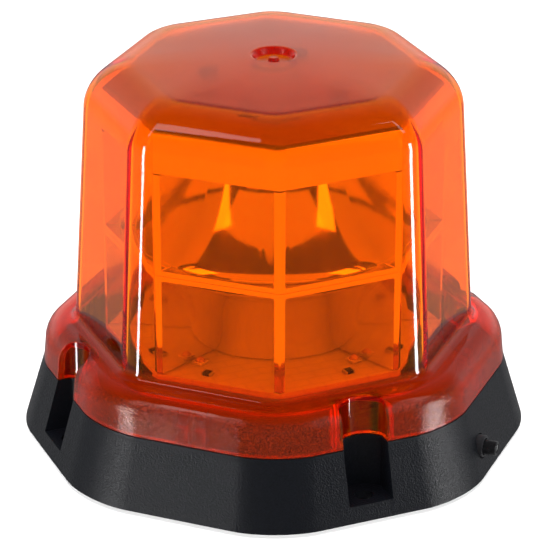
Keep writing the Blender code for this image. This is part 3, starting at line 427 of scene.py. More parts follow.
def belongs(piece, body, slot, *nodes):
    """Attach a piece to the body that carries it and hide the nodes it stands for; the slot is not used."""
    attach(piece, body)
    if nodes:
        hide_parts(*nodes)


def recess_tool(recess, grow, bottom, top):
    """The four screw recesses: straight sides, arched back, open to the outside."""
    bm = bmesh.new()
    half = recess.half_width + grow
    arc = recess.arc + grow
    centre = recess.back + recess.arc
    swing = math.asin(half / arc)
    place = radial(RIGHT_ANGLES[0], 0.0, bottom)
    first = bm.verts.new(place @ Vector((-arc * math.sin(swing), centre - arc * math.cos(swing), 0.0)))
    bow = bmesh.ops.spin(
        bm, geom=[first], cent=place @ Vector((0.0, centre, 0.0)), axis=(0, 0, 1),
        angle=2.0 * swing, steps=20, use_merge=False, use_duplicate=False)
    last = [part for part in bow["geom_last"] if isinstance(part, bmesh.types.BMVert)][0]
    ends = bmesh.ops.extrude_vert_indiv(bm, verts=[first, last])["verts"]
    for end in ends:
        flat = place.inverted() @ end.co
        end.co = place @ Vector((flat.x, recess.reach, 0.0))
    bmesh.ops.contextual_create(bm, geom=ends)
    bmesh.ops.contextual_create(bm, geom=bm.edges[:])
    bm.faces.ensure_lookup_table()
    raised = bmesh.ops.extrude_face_region(bm, geom=bm.faces[:])["geom"]
    lifted = [part for part in raised if isinstance(part, bmesh.types.BMVert)]
    bmesh.ops.translate(bm, verts=lifted, vec=(0.0, 0.0, top - bottom))
    copied_round(bm, RIGHT_ANGLES)
    bmesh.ops.recalc_face_normals(bm, faces=bm.faces)
    return bm


def upright_holes(places, radius, bottom, top, count=28):
    bm = bmesh.new()
    for place in places:
        skinned(bm, [hoop(bm, radius, height, place, count) for height in (bottom, top)])
    return bm


def screw_places(recess):
    return [around(angle, recess.hole_circle)[:2] for angle in RIGHT_ANGLES]


def tie_places(stack):
    return [around(angle + math.degrees(stack.turn), stack.tie_circle)[:2] for angle in DIAGONALS]


# ---- Finishes ----

def node(tree, kind, inputs=None, **settings):
    """Add a node, with its settings, its input values and the sockets linked to it."""
    made = tree.nodes.new(kind)
    for name, value in settings.items():
        setattr(made, name, value)
    for name, value in (inputs or {}).items():
        if isinstance(value, bpy.types.NodeSocket):
            tree.links.new(value, made.inputs[name])
        else:
            made.inputs[name].default_value = value
    return made


def new_finish(name, base, roughness, **values):
    """Material with its Principled shader set; returns the material, tree and shader."""
    material = bpy.data.materials.new(name)
    material.use_nodes = True
    tree = material.node_tree
    shader = tree.nodes["Principled BSDF"]
    shader.inputs["Base Color"].default_value = (*base, 1.0)
    shader.inputs["Roughness"].default_value = roughness
    for key, value in values.items():
        shader.inputs[key.replace("_", " ")].default_value = value
    return material, tree, shader


def spots(tree, size, detail=2.0, roughness=0.5):
    """Noise on Object coordinates whose features are about size metres wide."""
    place = node(tree, "ShaderNodeTexCoord").outputs["Object"]
    return node(tree, "ShaderNodeTexNoise", {
        "Vector": place, "Scale": 1.0 / size, "Detail": detail, "Roughness": roughness})


def graded(tree, value, low, high, start=0.3, end=0.7):
    """Value between low and high as a noise goes from start to end."""
    return node(tree, "ShaderNodeMapRange", {
        "Value": value, "From Min": start, "From Max": end, "To Min": low, "To Max": high}).outputs["Result"]


def mixed(tree, share, first, second):
    """Colour between two, each a socket or a constant colour."""
    ends = [end if isinstance(end, bpy.types.NodeSocket) else (*end, 1.0) for end in (first, second)]
    return node(tree, "ShaderNodeMix", {0: share, 6: ends[0], 7: ends[1]}, data_type="RGBA").outputs[2]


def eased(tree, value, start, end, low, high):
    """Value that eases from low to high as another goes from start to end."""
    return node(tree, "ShaderNodeMapRange", {
        "Value": value, "From Min": start, "From Max": end, "To Min": low, "To Max": high},
        interpolation_type="SMOOTHSTEP").outputs["Result"]


def bumped(tree, shader, height, depth, strength=1.0):
    relief = node(tree, "ShaderNodeBump", {"Height": height, "Distance": depth, "Strength": strength})
    tree.links.new(relief.outputs["Normal"], shader.inputs["Normal"])


def shaded(base, factor):
    return tuple(min(1.0, channel * factor) for channel in base)


def speckled_finish(name, base, roughness, size, depth, spread=0.12, contrast=0.2, **values):
    """Moulded or cast surface: fine grain in colour, roughness and relief."""
    material, tree, shader = new_finish(name, base, roughness, **values)
    grain = spots(tree, size, detail=3.0)
    tint = mixed(
        tree, graded(tree, grain.outputs["Fac"], 0.0, 1.0),
        shaded(base, 1.0 - contrast), shaded(base, 1.0 + contrast))
    tree.links.new(tint, shader.inputs["Base Color"])
    rough = graded(tree, grain.outputs["Fac"], roughness + spread / 2.0, roughness - spread / 2.0)
    tree.links.new(rough, shader.inputs["Roughness"])
    bumped(tree, shader, grain.outputs["Fac"], depth)
    return material


def amber_polycarbonate(lens, recess):
    """Moulded amber polycarbonate: glass-clear and glossy on the dome, satin on the crown and a shade deeper
    where the dome bends into it, a darker tint painted in as shade there; cloudy in the skirt, with a fine
    spark-eroded grain on the skirt's outside."""
    material, tree, shader = new_finish(
        "amber_polycarbonate", lens.amber, 0.03, Transmission_Weight=1.0, IOR=lens.refraction)
    place = node(tree, "ShaderNodeTexCoord").outputs["Object"]
    height = node(tree, "ShaderNodeSeparateXYZ", {"Vector": place}).outputs["Z"]
    shoulder = lens.bottom + lens.skirt_side
    shelf = shoulder + lens.skirt_round
    crown_edge = lens.top - lens.crown_rise
    below = eased(tree, height, shelf + 0.6 * MM, shelf + 3.2 * MM, 1.0, 0.0)
    low = eased(tree, height, shoulder + 3.6 * MM, shoulder + 6.2 * MM, 1.0, 0.0)
    # Only the outside of the skirt is grained: the screw recesses and the inside are polished.
    flat_place = node(tree, "ShaderNodeVectorMath", {0: place, 1: (1.0, 1.0, 0.0)}, operation="MULTIPLY")
    reach = node(tree, "ShaderNodeVectorMath", {0: flat_place.outputs["Vector"]}, operation="LENGTH")
    outside = eased(tree, reach.outputs["Value"], 65.6 * MM, 66.4 * MM, 0.0, 1.0)
    # The walls of the screw recesses, beside the X and Y axes, are clear.
    span = node(tree, "ShaderNodeVectorMath", {0: flat_place.outputs["Vector"]}, operation="ABSOLUTE")
    sides = node(tree, "ShaderNodeSeparateXYZ", {"Vector": span.outputs["Vector"]})
    off_axis = node(tree, "ShaderNodeMath", {
        0: sides.outputs["X"], 1: sides.outputs["Y"]}, operation="MINIMUM").outputs["Value"]
    beside = eased(tree, off_axis, recess.half_width + 0.3 * MM, recess.half_width + 1.1 * MM, 1.0, 0.0)
    beyond = eased(tree, reach.outputs["Value"], recess.back - 1.6 * MM, recess.back - 0.4 * MM, 0.0, 1.0)
    walls = node(tree, "ShaderNodeMath", {0: beside, 1: beyond}, operation="MULTIPLY")
    skirt = node(tree, "ShaderNodeMath", {
        0: below, 1: walls.outputs["Value"]}, operation="SUBTRACT", use_clamp=True).outputs["Value"]
    grained = node(tree, "ShaderNodeMath", {0: low, 1: outside}, operation="MULTIPLY").outputs["Value"]
    # The real grain is about 0.1 mm; it is drawn at 0.5 mm so that it shows at this distance.
    grain = spots(tree, 0.5 * MM, detail=4.0, roughness=0.65).outputs["Fac"]
    satin = eased(tree, height, lens.top - 4.0 * MM, crown_edge, 0.02, 0.2)
    rough = graded(tree, grained, satin, 0.18, 0.0, 1.0)
    tree.links.new(rough, shader.inputs["Roughness"])
    # Painted shade: the band where the sides bend into the crown takes the darker bend tint in place of shade.
    bend = eased(tree, height, lens.top - 11.0 * MM, lens.top - 5.0 * MM, 0.0, 1.0)
    over = eased(tree, height, lens.top - 4.0 * MM, crown_edge, 0.0, 1.0)
    upper = mixed(tree, bend, lens.amber, lens.bend)
    crown = mixed(tree, over, upper, lens.crown)
    cloudy = mixed(tree, skirt, crown, lens.frost)
    specks = node(tree, "ShaderNodeMath", {
        0: graded(tree, grain, 0.0, 1.0, 0.4, 0.6), 1: grained}, operation="MULTIPLY")
    tree.links.new(mixed(tree, specks.outputs["Value"], cloudy, lens.speck), shader.inputs["Base Color"])
    cloud = graded(tree, skirt, 1.0, 0.9, 0.0, 1.0)
    clear = node(tree, "ShaderNodeMath", {
        0: specks.outputs["Value"], 1: -0.12, 2: cloud}, operation="MULTIPLY_ADD")
    tree.links.new(clear.outputs["Value"], shader.inputs["Transmission Weight"])
    relief = node(tree, "ShaderNodeMath", {0: grain, 1: grained}, operation="MULTIPLY")
    bumped(tree, shader, relief.outputs["Value"], 0.07 * MM)
    # Lamps outside light the reflectors through the wall.
    through = node(tree, "ShaderNodeBsdfTransparent", {
        "Color": (*[channel ** 0.5 for channel in lens.amber], 1.0)})
    path = node(tree, "ShaderNodeLightPath")
    mix = node(tree, "ShaderNodeMixShader", {
        0: path.outputs["Is Shadow Ray"], 1: shader.outputs["BSDF"], 2: through.outputs["BSDF"]})
    output = tree.nodes["Material Output"]
    tree.links.new(mix.outputs["Shader"], output.inputs["Surface"])
    # What is left of the light after one wall, so that longer ways through it turn deep red.
    density = 1.0 / lens.wall
    depth = [1.0 + math.log(channel) for channel in lens.depth_tint]
    soak = node(tree, "ShaderNodeVolumeAbsorption", {"Color": (*depth, 1.0), "Density": density})
    tree.links.new(soak.outputs["Volume"], output.inputs["Volume"])
    return material


def textured_abs(base):
    """Injection-moulded black ABS with an even spark-eroded grain: a soft grey sheen where it
    turns to the light, and no clear reflection."""
    # The grain is 0.2 mm on such mouldings, drawn at 0.5 mm so that it shows.
    return speckled_finish(
        "textured_black_abs", base.plastic, 0.40, 0.5 * MM, 0.16 * MM, spread=0.2, contrast=0.4,
        Specular_IOR_Level=0.3)


def metallised_plastic(stack):
    """Vapour-deposited aluminium over moulded plastic: a mirror blurred a little by the
    moulding's waviness and by the lacquer over it."""
    material, tree, shader = new_finish("metallised_plastic", stack.metal, 0.2, Metallic=0.85)
    haze = spots(tree, 3.0 * MM, detail=3.0)
    rough = graded(tree, haze.outputs["Fac"], 0.07, 0.13)
    tree.links.new(rough, shader.inputs["Roughness"])
    wave = spots(tree, 8.0 * MM, detail=1.0)
    bumped(tree, shader, wave.outputs["Fac"], 0.03 * MM)
    return material


def tracked_board(name, base, roughness, tone, line, brick, row, depth):
    """Glass-fibre board under solder mask: satin lacquer, with the copper's tracks a tone apart
    and standing faintly proud. Sizes of the tracks are in millimetres."""
    material, tree, shader = new_finish(name, base, roughness)
    place = node(tree, "ShaderNodeTexCoord").outputs["Object"]
    tracks = node(tree, "ShaderNodeTexBrick", {
        "Vector": place, "Color1": (0, 0, 0, 1), "Color2": (0, 0, 0, 1), "Mortar": (1, 1, 1, 1),
        "Scale": 1.0, "Mortar Size": line * MM, "Brick Width": brick * MM,
        "Row Height": row * MM}).outputs["Color"]
    tint = mixed(tree, graded(tree, tracks, 0.0, 1.0, 0.0, 1.0), base, shaded(base, tone))
    tree.links.new(tint, shader.inputs["Base Color"])
    bumped(tree, shader, tracks, depth * MM)
    return material


# ---- Base ----

def between_foot_and_rim(base, height, foot, rim):
    share = (height - base.bottom) / (base.rim_height - base.bottom)
    return foot + (rim - foot) * share


def base_flat(base, height):
    return between_foot_and_rim(base, height, base.foot_flat, base.rim_flat)


def base_corner(base, height):
    return between_foot_and_rim(base, height, base.foot_corner, base.rim_corner)


def prong_bodies(scene):
    """Bracket and two hooked prongs on each diagonal side."""
    base, catch, lens = scene.beacon_base, scene.beacon_catch, scene.beacon_lens
    face = base.rim_flat - lens.skirt_draft - lens.wall - catch.catch_depth - catch.catch_to_prong
    inner = face - catch.prong_thickness
    bracket_top = base.rim_height - 3.8 * MM
    bracket_bottom = bracket_top - 3.5 * MM
    outer = base_flat(base, bracket_top) - base.wall / 2.0
    shelf = shelf_height(lens)
    top = shelf - lens.wall - 1.0 * MM
    nib = lens.bottom + catch.catch_height + 2.0 * GAP
    width = 2.0 * catch.prong_spread + catch.prong_width + 2.0 * MM
    bracket = bmesh.new()
    radial_block(bracket, DIAGONALS[0], inner, outer, 0.0, width, bracket_bottom, bracket_top)
    posts = bmesh.new()
    nibs = bmesh.new()
    back = around(DIAGONALS[0], -catch.prong_nib * 0.95)
    for side in (-1.0, 1.0):
        offset = side * catch.prong_spread
        radial_block(
            posts, DIAGONALS[0], inner, face, offset, catch.prong_width, bracket_bottom + OVERCUT, top)
        wedge = radial_block(
            nibs, DIAGONALS[0], face - catch.prong_nib, face + catch.prong_nib, offset,
            catch.prong_width, nib, nib + 1.6 * MM)
        outward = around(DIAGONALS[0], 1.0)
        for v in wedge:
            if v.co.z > nib + OVERCUT and v.co.dot(outward) > face:
                v.co += back
    return [copied_round(solid, DIAGONALS) for solid in (bracket, posts, nibs)]


def button_frame(scene):
    base, button = scene.beacon_base, scene.beacon_button
    wall = base_flat(base, button.height)
    angle = math.degrees(button.bearing)
    spin = radial(angle, button.offset, button.height) @ Matrix.Rotation(math.radians(-90.0), 4, "X")
    return spin, wall


def along_button(scene, profile, count=40, closed=False):
    """Solid of revolution about the button's axis; heights run outward from the beacon's axis."""
    bm = tube(profile, count=count, closed=closed)
    bmesh.ops.transform(bm, matrix=button_frame(scene)[0], verts=bm.verts)
    bmesh.ops.recalc_face_normals(bm, faces=bm.faces)
    return bm


def cut_base(scene):
    base, recess, button = scene.beacon_base, scene.beacon_recess, scene.beacon_button
    finish = textured_abs(base)
    levels = [base.bottom + (base.rim_height - base.bottom) * share for share in (0.0, 0.5, 1.0)]
    housing = new_piece("base_shell", octagon_solid(
        [(base_flat(base, z), base_corner(base, z), z) for z in levels], steps=12), finish)
    core = new_piece("base_hollow", octagon_solid(
        [(base_flat(base, z) - base.wall, base_corner(base, z) - base.wall, z)
         for z in (base.floor_top, base.rim_height + OVERCUT)], steps=12))
    carve(core, recess_tool(recess, recess.wall, base.floor_under, base.rim_height + 2.0 * OVERCUT))
    hollow = bmesh.new()
    hollow.from_mesh(core.data)
    bpy.data.objects.remove(core, do_unlink=True)
    carve(housing, hollow)
    for solid in prong_bodies(scene):
        carve(housing, solid, "UNION")
    ties = tie_places(scene.beacon_reflector)
    boss_top = base.floor_top + 7.7 * MM
    carve(housing, upright_holes(ties, 4.5 * MM, base.floor_top - OVERCUT, boss_top), "UNION")
    wall = button_frame(scene)[1]
    lean = (base.foot_flat - base.rim_flat) / (base.rim_height - base.bottom)
    boss_face = wall - base.wall - 2.4 * MM
    carve(housing, along_button(scene, (
        (6.0 * MM, boss_face - 0.9 * MM), (6.0 * MM, wall - base.wall / 2.0 - lean * 6.0 * MM))), "UNION")
    room = base.foot_flat - base.pad_lip + GAP
    carve(housing, octagon_solid(
        [(room, base.pad_corner + GAP, z) for z in (0.0, base.floor_under)], steps=12))
    carve(housing, recess_tool(recess, 0.0, base.floor_top, base.rim_height + 3.0 * OVERCUT))
    carve(housing, upright_holes(screw_places(recess), recess.hole_radius, 0.0, base.rim_height))
    carve(housing, upright_holes(ties, TIE_HOLE_RADIUS, boss_top - 6.5 * MM, boss_top + OVERCUT))
    hole = button.bush_radius + GAP
    carve(housing, along_button(scene, ((hole, boss_face - OVERCUT), (hole, base.foot_flat + 5.0 * MM))))
    carve(housing, along_button(scene, ((4.9 * MM, boss_face - 3.8 * MM), (4.9 * MM, boss_face))))
    carve(housing, upright_holes([CABLE_HOLE_PLACE], 4.9 * MM, 0.0, base.floor_top + OVERCUT))
    cleaned(housing)
    soften(housing, base.edge)
    belongs(housing, "root", "black_abs", "base_housing")
    return housing


class BEACON_OT_base(bpy.types.Operator):
    """Moulded base with its recesses, prongs, bosses and holes"""
    bl_idname = "beacon.base"
    bl_label = "Base"

    def execute(self, context):
        cut_base(context.scene)
        return {"FINISHED"}


class BEACON_OT_pad(bpy.types.Operator):
    """Rubber pad under the base"""
    bl_idname = "beacon.pad"
    bl_label = "Rubber pad"

    def execute(self, context):
        base, recess = context.scene.beacon_base, context.scene.beacon_recess
        flat = base.foot_flat - base.pad_lip
        # Moulded nitrile rubber: matt black, faintly cloudy with a fine tooth.
        rubber = speckled_finish(
            "moulded_black_rubber", base.rubber, 0.82, 0.9 * MM, 0.04 * MM, spread=0.12, contrast=0.25)
        pad = new_piece("rubber_pad", octagon_solid(
            [(flat, base.pad_corner, z) for z in (0.0, base.pad_top)], steps=12), rubber)
        carve(pad, upright_holes([CABLE_HOLE_PLACE], 7.0 * MM, -OVERCUT, base.pad_top + OVERCUT))
        carve(pad, upright_holes(
            screw_places(recess), recess.hole_radius + 0.5 * MM, -OVERCUT, base.pad_top + OVERCUT))
        cleaned(pad)
        soften(pad, 0.35 * MM)
        belongs(pad, "root", "black_rubber", "mounting_pad")
        return {"FINISHED"}


# ---- Lens ----

def arc(centre, radius, start, end, steps):
    """Points on an arc as (flat, height), between two angles in degrees."""
    points = []
    for step in range(steps + 1):
        turn = math.radians(start + (end - start) * step / steps)
        points.append((centre[0] + radius * math.cos(turn), centre[1] + radius * math.sin(turn)))
    return points


def lens_rings(lens, base, inset, steps):
    """(flat, corner, height) of the lens surface moved in by inset, from the skirt to the crown."""
    skirt_corner = base.rim_corner - inset
    skirt_top = base.rim_flat - lens.skirt_draft
    shoulder = lens.bottom + lens.skirt_side
    shelf = shoulder + lens.skirt_round
    rings = [(base.rim_flat - inset, skirt_corner, lens.bottom)]
    bend = (skirt_top - lens.skirt_round, shoulder)
    for flat, height in arc(bend, lens.skirt_round - inset, 0.0, 90.0, steps):
        rings.append((flat, skirt_corner - (skirt_top - inset - flat), height))
    dome_corner = lens.corner - inset
    foot = (lens.foot_flat + lens.foot_fillet, shelf + lens.foot_fillet)
    for flat, height in arc(foot, lens.foot_fillet + inset, 270.0, 180.0, steps):
        rings.append((flat, dome_corner + (flat - lens.foot_flat + inset), height))
    crown_edge = lens.top - lens.crown_rise
    top = (lens.top_flat - lens.top_fillet, crown_edge - lens.top_fillet)
    for flat, height in arc(top, lens.top_fillet - inset, 0.0, 90.0, 2 * steps):
        rings.append((flat, dome_corner, height))
    return rings


def outer_lens(lens, base):
    """Solid inside the lens's outer surface, with the crown, its dimple and its moulding point."""
    bm = bmesh.new()
    steps = 10
    loops = [octagon(bm, *ring, 0.0, steps) for ring in lens_rings(lens, base, 0.0, 8)]
    start = lens.top_flat - lens.top_fillet
    crown_edge = lens.top - lens.crown_rise
    edge = lens.dimple_radius + 1.0 * MM
    for share in (0.12, 0.25, 0.4, 0.55, 0.7, 0.85):
        flat = start + (edge - start) * share
        height = crown_edge + lens.crown_rise * (1.0 - (flat / start) ** 2)
        corner = lens.corner * (1.0 - share) + flat * share * 0.96
        loops.append(octagon(bm, flat, corner, height, 0.0, steps))
    count = SIDES * (steps + 1)
    floor = lens.top - lens.dimple_depth
    for radius, height in (
            (edge, lens.top), (edge - 0.5 * MM, lens.top - 0.08 * MM), (edge - 1.0 * MM, lens.top - 0.4 * MM),
            (edge - 1.5 * MM, floor + 0.5 * MM), (edge - 1.9 * MM, floor + 0.12 * MM),
            (edge - 2.4 * MM, floor), (lens.nub_radius + 0.5 * MM, floor),
            (lens.nub_radius + 0.15 * MM, floor + 0.15 * MM),
            (lens.nub_radius, floor + lens.nub_height - 0.3 * MM),
            (lens.nub_radius - 0.12 * MM, floor + lens.nub_height - 0.08 * MM),
            (lens.nub_radius - 0.4 * MM, floor + lens.nub_height)):
        loops.append(hoop(bm, radius, height, count=count))
    return skinned(bm, loops)


def lens_core(scene):
    """Solid that hollows the lens: its inner surface, less the walls round the recesses."""
    lens, base, recess = scene.beacon_lens, scene.beacon_base, scene.beacon_recess
    rings = lens_rings(lens, base, lens.wall, 6)
    flat, corner, _ = rings[-1]
    rings[-1] = (flat, corner, lens.top - lens.crown_rise - lens.wall)
    rings.insert(0, (base.rim_flat - lens.wall, base.rim_corner - lens.wall, lens.bottom - OVERCUT))
    core = new_piece("lens_hollow", octagon_solid(rings, steps=10))
    shelf = shelf_height(lens)
    carve(core, recess_tool(recess, recess.wall, base.floor_top, shelf))
    bm = bmesh.new()
    bm.from_mesh(core.data)
    bpy.data.objects.remove(core, do_unlink=True)
    return bm


def catches(scene):
    lens, base, catch = scene.beacon_lens, scene.beacon_base, scene.beacon_catch
    skirt_top = base.rim_flat - lens.skirt_draft
    bm = bmesh.new()
    for side in (-1.0, 1.0):
        radial_block(
            bm, DIAGONALS[0], skirt_top - lens.wall - catch.catch_depth, skirt_top - lens.wall / 2.0,
            side * catch.prong_spread, catch.prong_width,
            lens.bottom + GAP, lens.bottom + GAP + catch.catch_height)
    return copied_round(bm, DIAGONALS)


class BEACON_OT_lens(bpy.types.Operator):
    """Amber lens: skirt, shoulder, faceted dome and dimpled crown in one moulding"""
    bl_idname = "beacon.lens"
    bl_label = "Lens"

    def execute(self, context):
        scene = context.scene
        lens, base, recess = scene.beacon_lens, scene.beacon_base, scene.beacon_recess
        dome = new_piece("amber_lens", outer_lens(lens, base), amber_polycarbonate(lens, recess))
        carve(dome, lens_core(scene))
        carve(dome, catches(scene), "UNION")
        shelf = shelf_height(lens)
        carve(dome, recess_tool(recess, 0.0, base.floor_top, shelf + lens.foot_fillet + 2.0 * OVERCUT))
        cleaned(dome)
        soften(dome, lens.edge)
        belongs(dome, "root", "amber_polycarbonate", "lens_dome")
        return {"FINISHED"}


# ---- Reflectors and cap ----

def bowl_radius(stack, tier_height, rise):
    """Radius of a bowl at a height, kept inside the middle of its cell's side."""
    curve = (stack.mouth - stack.neck) / tier_height ** 2
    return min(stack.neck + curve * rise ** 2, stack.radius / FLAT_TO_CORNER - BOWL_MARGIN)


def cell_cutter(stack, tier_height):
    """What one cell takes out of a tier, rising from height zero: the bowl's curve inside,
    flat cheeks along the ribs and a filleted roof under the divider."""
    bm = bmesh.new()
    roof = tier_height - stack.divider
    outer = stack.radius + 8.0 * MM
    points = [(stack.neck, -OVERCUT)]
    for step in range(25):
        rise = roof * step / 24
        points.append((bowl_radius(stack, tier_height, rise), rise))
    points += [(outer, roof), (outer, -OVERCUT)]
    verts = [bm.verts.new(around(-30.0, radius, height)) for radius, height in points]
    edges = [bm.edges.new(pair) for pair in zip(verts, verts[1:] + verts[:1])]
    bmesh.ops.spin(
        bm, geom=verts + edges, cent=(0, 0, 0), axis=(0, 0, 1), angle=math.radians(60.0), steps=36,
        use_merge=False, use_duplicate=False)
    half = SIDE_ANGLE / 2.0
    for side in (-1.0, 1.0):
        keep = around(side * half - side * 90.0, stack.rib_half)
        bmesh.ops.bisect_plane(
            bm, geom=bm.verts[:] + bm.edges[:] + bm.faces[:], dist=1e-7,
            plane_co=keep, plane_no=-keep.normalized(), clear_outer=True, clear_inner=False)
        open_edges = [e for e in bm.edges if e.is_boundary or e.is_wire]
        rim = [
            e for e in open_edges
            if all(abs((v.co - keep).dot(keep.normalized())) < TOUCH for v in e.verts)]
        bmesh.ops.contextual_create(bm, geom=rim)
    bmesh.ops.recalc_face_normals(bm, faces=bm.faces)
    fillet = []
    for e in bm.edges:
        level = all(abs(v.co.z - roof) < TOUCH for v in e.verts)
        if level and len(e.link_faces) == 2 and e.calc_face_angle(0.0) > 1.0 and e.calc_length() > 5.0 * MM:
            fillet.append(e)
    rounded(bm, fillet, stack.fillet, 6)
    return bm


def build_tier(scene, name, node_name, finish, hangs):
    """One tier of eight cells with the hollow behind its bowls."""
    stack = scene.beacon_reflector
    low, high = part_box(node_name)
    tier_height = high[2] - low[2]
    seam = 0.12 * MM
    turn = math.degrees(stack.turn)
    flat = stack.radius / FLAT_TO_CORNER
    tier = new_piece(name, octagon_solid(
        [(flat, stack.corner, z) for z in (0.0, tier_height + seam)], turn, 3), finish)
    cells = cell_cutter(stack, tier_height)
    bmesh.ops.rotate(cells, verts=cells.verts, cent=(0, 0, 0), matrix=turned_z(turn).to_3x3())
    carve(tier, copied_round(cells, [SIDE_ANGLE * cell for cell in range(SIDES)]))
    core = [(stack.neck - stack.bowl_wall, -OVERCUT)]
    for step in range(13):
        rise = tier_height * step / 12
        core.append((bowl_radius(stack, tier_height, rise) - stack.bowl_wall, rise))
    core.append((core[-1][0], tier_height + OVERCUT))
    carve(tier, tube(core, count=64))
    cleaned(tier)
    bm = bmesh.new()
    bm.from_mesh(tier.data)
    if hangs:
        bmesh.ops.scale(bm, vec=(1.0, 1.0, -1.0), verts=bm.verts)
        bmesh.ops.reverse_faces(bm, faces=bm.faces)
    bmesh.ops.translate(bm, vec=(0.0, 0.0, high[2] if hangs else low[2]), verts=bm.verts)
    bm.to_mesh(tier.data)
    bm.free()
    soften(tier, stack.edge, angle=45.0)
    belongs(tier, "root", "metallised", node_name)


class BEACON_OT_reflectors(bpy.types.Operator):
    """Lower and upper reflector, eight bowls each, divided by ribs"""
    bl_idname = "beacon.reflectors"
    bl_label = "Reflectors"

    def execute(self, context):
        finish = metallised_plastic(context.scene.beacon_reflector)
        build_tier(context.scene, "lower_bowls", "lower_reflector", finish, False)
        build_tier(context.scene, "upper_bowls", "upper_reflector", finish, True)
        return {"FINISHED"}


class BEACON_OT_cap(bpy.types.Operator):
    """Cap over the upper lamp board"""
    bl_idname = "beacon.cap"
    bl_label = "Cap"

    def execute(self, context):
        stack = context.scene.beacon_reflector
        low, high = (corner[2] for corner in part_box("reflector_cap"))
        turn = math.degrees(stack.turn)
        flat = stack.radius / FLAT_TO_CORNER
        cap = new_piece("stack_cap", octagon_solid((
            (flat, stack.corner, low), (flat, stack.corner, high - stack.cap_edge),
            (flat - stack.cap_edge, stack.corner, high)), turn, 4),
            bpy.data.materials["metallised_plastic"])
        carve(cap, octagon_solid([
            (flat - stack.cap_wall, stack.corner, z) for z in (low - OVERCUT, high - stack.cap_wall)], turn, 4))
        ties = tie_places(stack)
        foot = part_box("upper_led_board")[1][2] + GAP
        carve(cap, upright_holes(ties, 4.6 * MM, foot, high - stack.cap_wall / 2.0), "UNION")
        carve(cap, upright_holes(ties, TIE_HOLE_RADIUS, foot - OVERCUT, high + OVERCUT))
        carve(cap, upright_holes(ties, 3.1 * MM, high - 3.0 * MM, high + OVERCUT))
        cleaned(cap)
        soften(cap, 0.35 * MM)
        belongs(cap, "root", "metallised", "reflector_cap")
        return {"FINISHED"}


# ---- Lamp boards and lamps ----

def cells(stack):
    """Middle bearing of each cell, and the side of it that the lamp lies on."""
    turn = math.degrees(stack.turn)
    return [(SIDE_ANGLE * cell + turn, 1.0 if cell % 2 == 0 else -1.0) for cell in range(SIDES)]


def build_board(scene, name, node_name, inset, rises, finish, ceramic, tin):
    stack, lamp = scene.beacon_reflector, scene.beacon_lamp
    low, high = (corner[2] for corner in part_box(node_name))
    thickness = 1.6 * MM
    bottom, top = (low, low + thickness) if rises > 0 else (high - thickness, high)
    turn = math.degrees(stack.turn)
    flat = stack.radius / FLAT_TO_CORNER - inset
    board = new_piece(name, octagon_solid(
        [(flat, stack.corner, z) for z in (bottom, top)], turn, 4), finish)
    carve(board, upright_holes(tie_places(stack), TIE_HOLE_RADIUS, bottom - OVERCUT, top + OVERCUT))
    if rises > 0:
        slot = bmesh.new()
        block(slot, (12.8 * MM, 2.4 * MM, 4.0 * MM), Matrix.Translation((0, 0, bottom)) @ turned_z(turn))
        carve(board, slot)
    cleaned(board)
    soften(board, 0.15 * MM)
    parts = bmesh.new()
    face = top if rises > 0 else bottom
    for bearing, side in cells(stack):
        angle = bearing + side * math.degrees(lamp.resistor_bearing)
        middle = lamp.resistor_height / 2.0 - 0.01 * MM
        place = radial(angle, 0.0, face + rises * middle) @ Matrix.Translation((0, lamp.resistor_circle, 0))
        for shift, size, material in (
                (0.0, (lamp.resistor_length - 1.0 * MM, lamp.resistor_width, lamp.resistor_height), 0),
                (-1.0, (0.55 * MM, lamp.resistor_width, lamp.resistor_height * 0.96), 1),
                (1.0, (0.55 * MM, lamp.resistor_width, lamp.resistor_height * 0.96), 1)):
            along = shift * (lamp.resistor_length - 0.55 * MM) / 2.0
            verts = block(parts, size, place @ Matrix.Translation((along, 0, 0)))
            edges = {edge for v in verts for edge in v.link_edges}
            faces = {face_ for v in verts for face_ in v.link_faces}
            for part in faces:
                part.material_index = material
            rounded(parts, edges, 0.12 * MM, 2)
    resistors = new_piece(name + "_resistors", parts, ceramic, tin)
    belongs(board, "root", "white_fr4", node_name)
    belongs(resistors, "root", "epoxy", node_name)


def build_lamp(name, place, rises, lamp, ceramic, phosphor, gold):
    """Square package with a gilt ring and a clear-domed phosphor."""
    bm = bmesh.new()
    half = lamp.height / 2.0
    verts = block(bm, (lamp.size, lamp.size, lamp.height), place @ Matrix.Translation((0, 0, half)))
    rounded(bm, {edge for v in verts for edge in v.link_edges}, 0.15 * MM, 2)
    well = bmesh.ops.create_cone(
        bm, cap_ends=True, segments=32, radius1=lamp.dome * 1.16, radius2=lamp.dome * 1.1, depth=0.12 * MM,
        matrix=place @ Matrix.Translation((0, 0, lamp.height + 0.05 * MM)))
    for part in {f for v in well["verts"] for f in v.link_faces}:
        part.material_index = 2
    dome = bmesh.ops.create_uvsphere(
        bm, u_segments=28, v_segments=14, radius=lamp.dome * 0.97,
        matrix=place @ Matrix.Translation((0, 0, lamp.height - 0.12 * MM)))
    for part in {f for v in dome["verts"] for f in v.link_faces}:
        part.material_index = 1
    if rises < 0:
        bmesh.ops.recalc_face_normals(bm, faces=bm.faces)
    return new_piece(name, bm, ceramic, phosphor, gold)


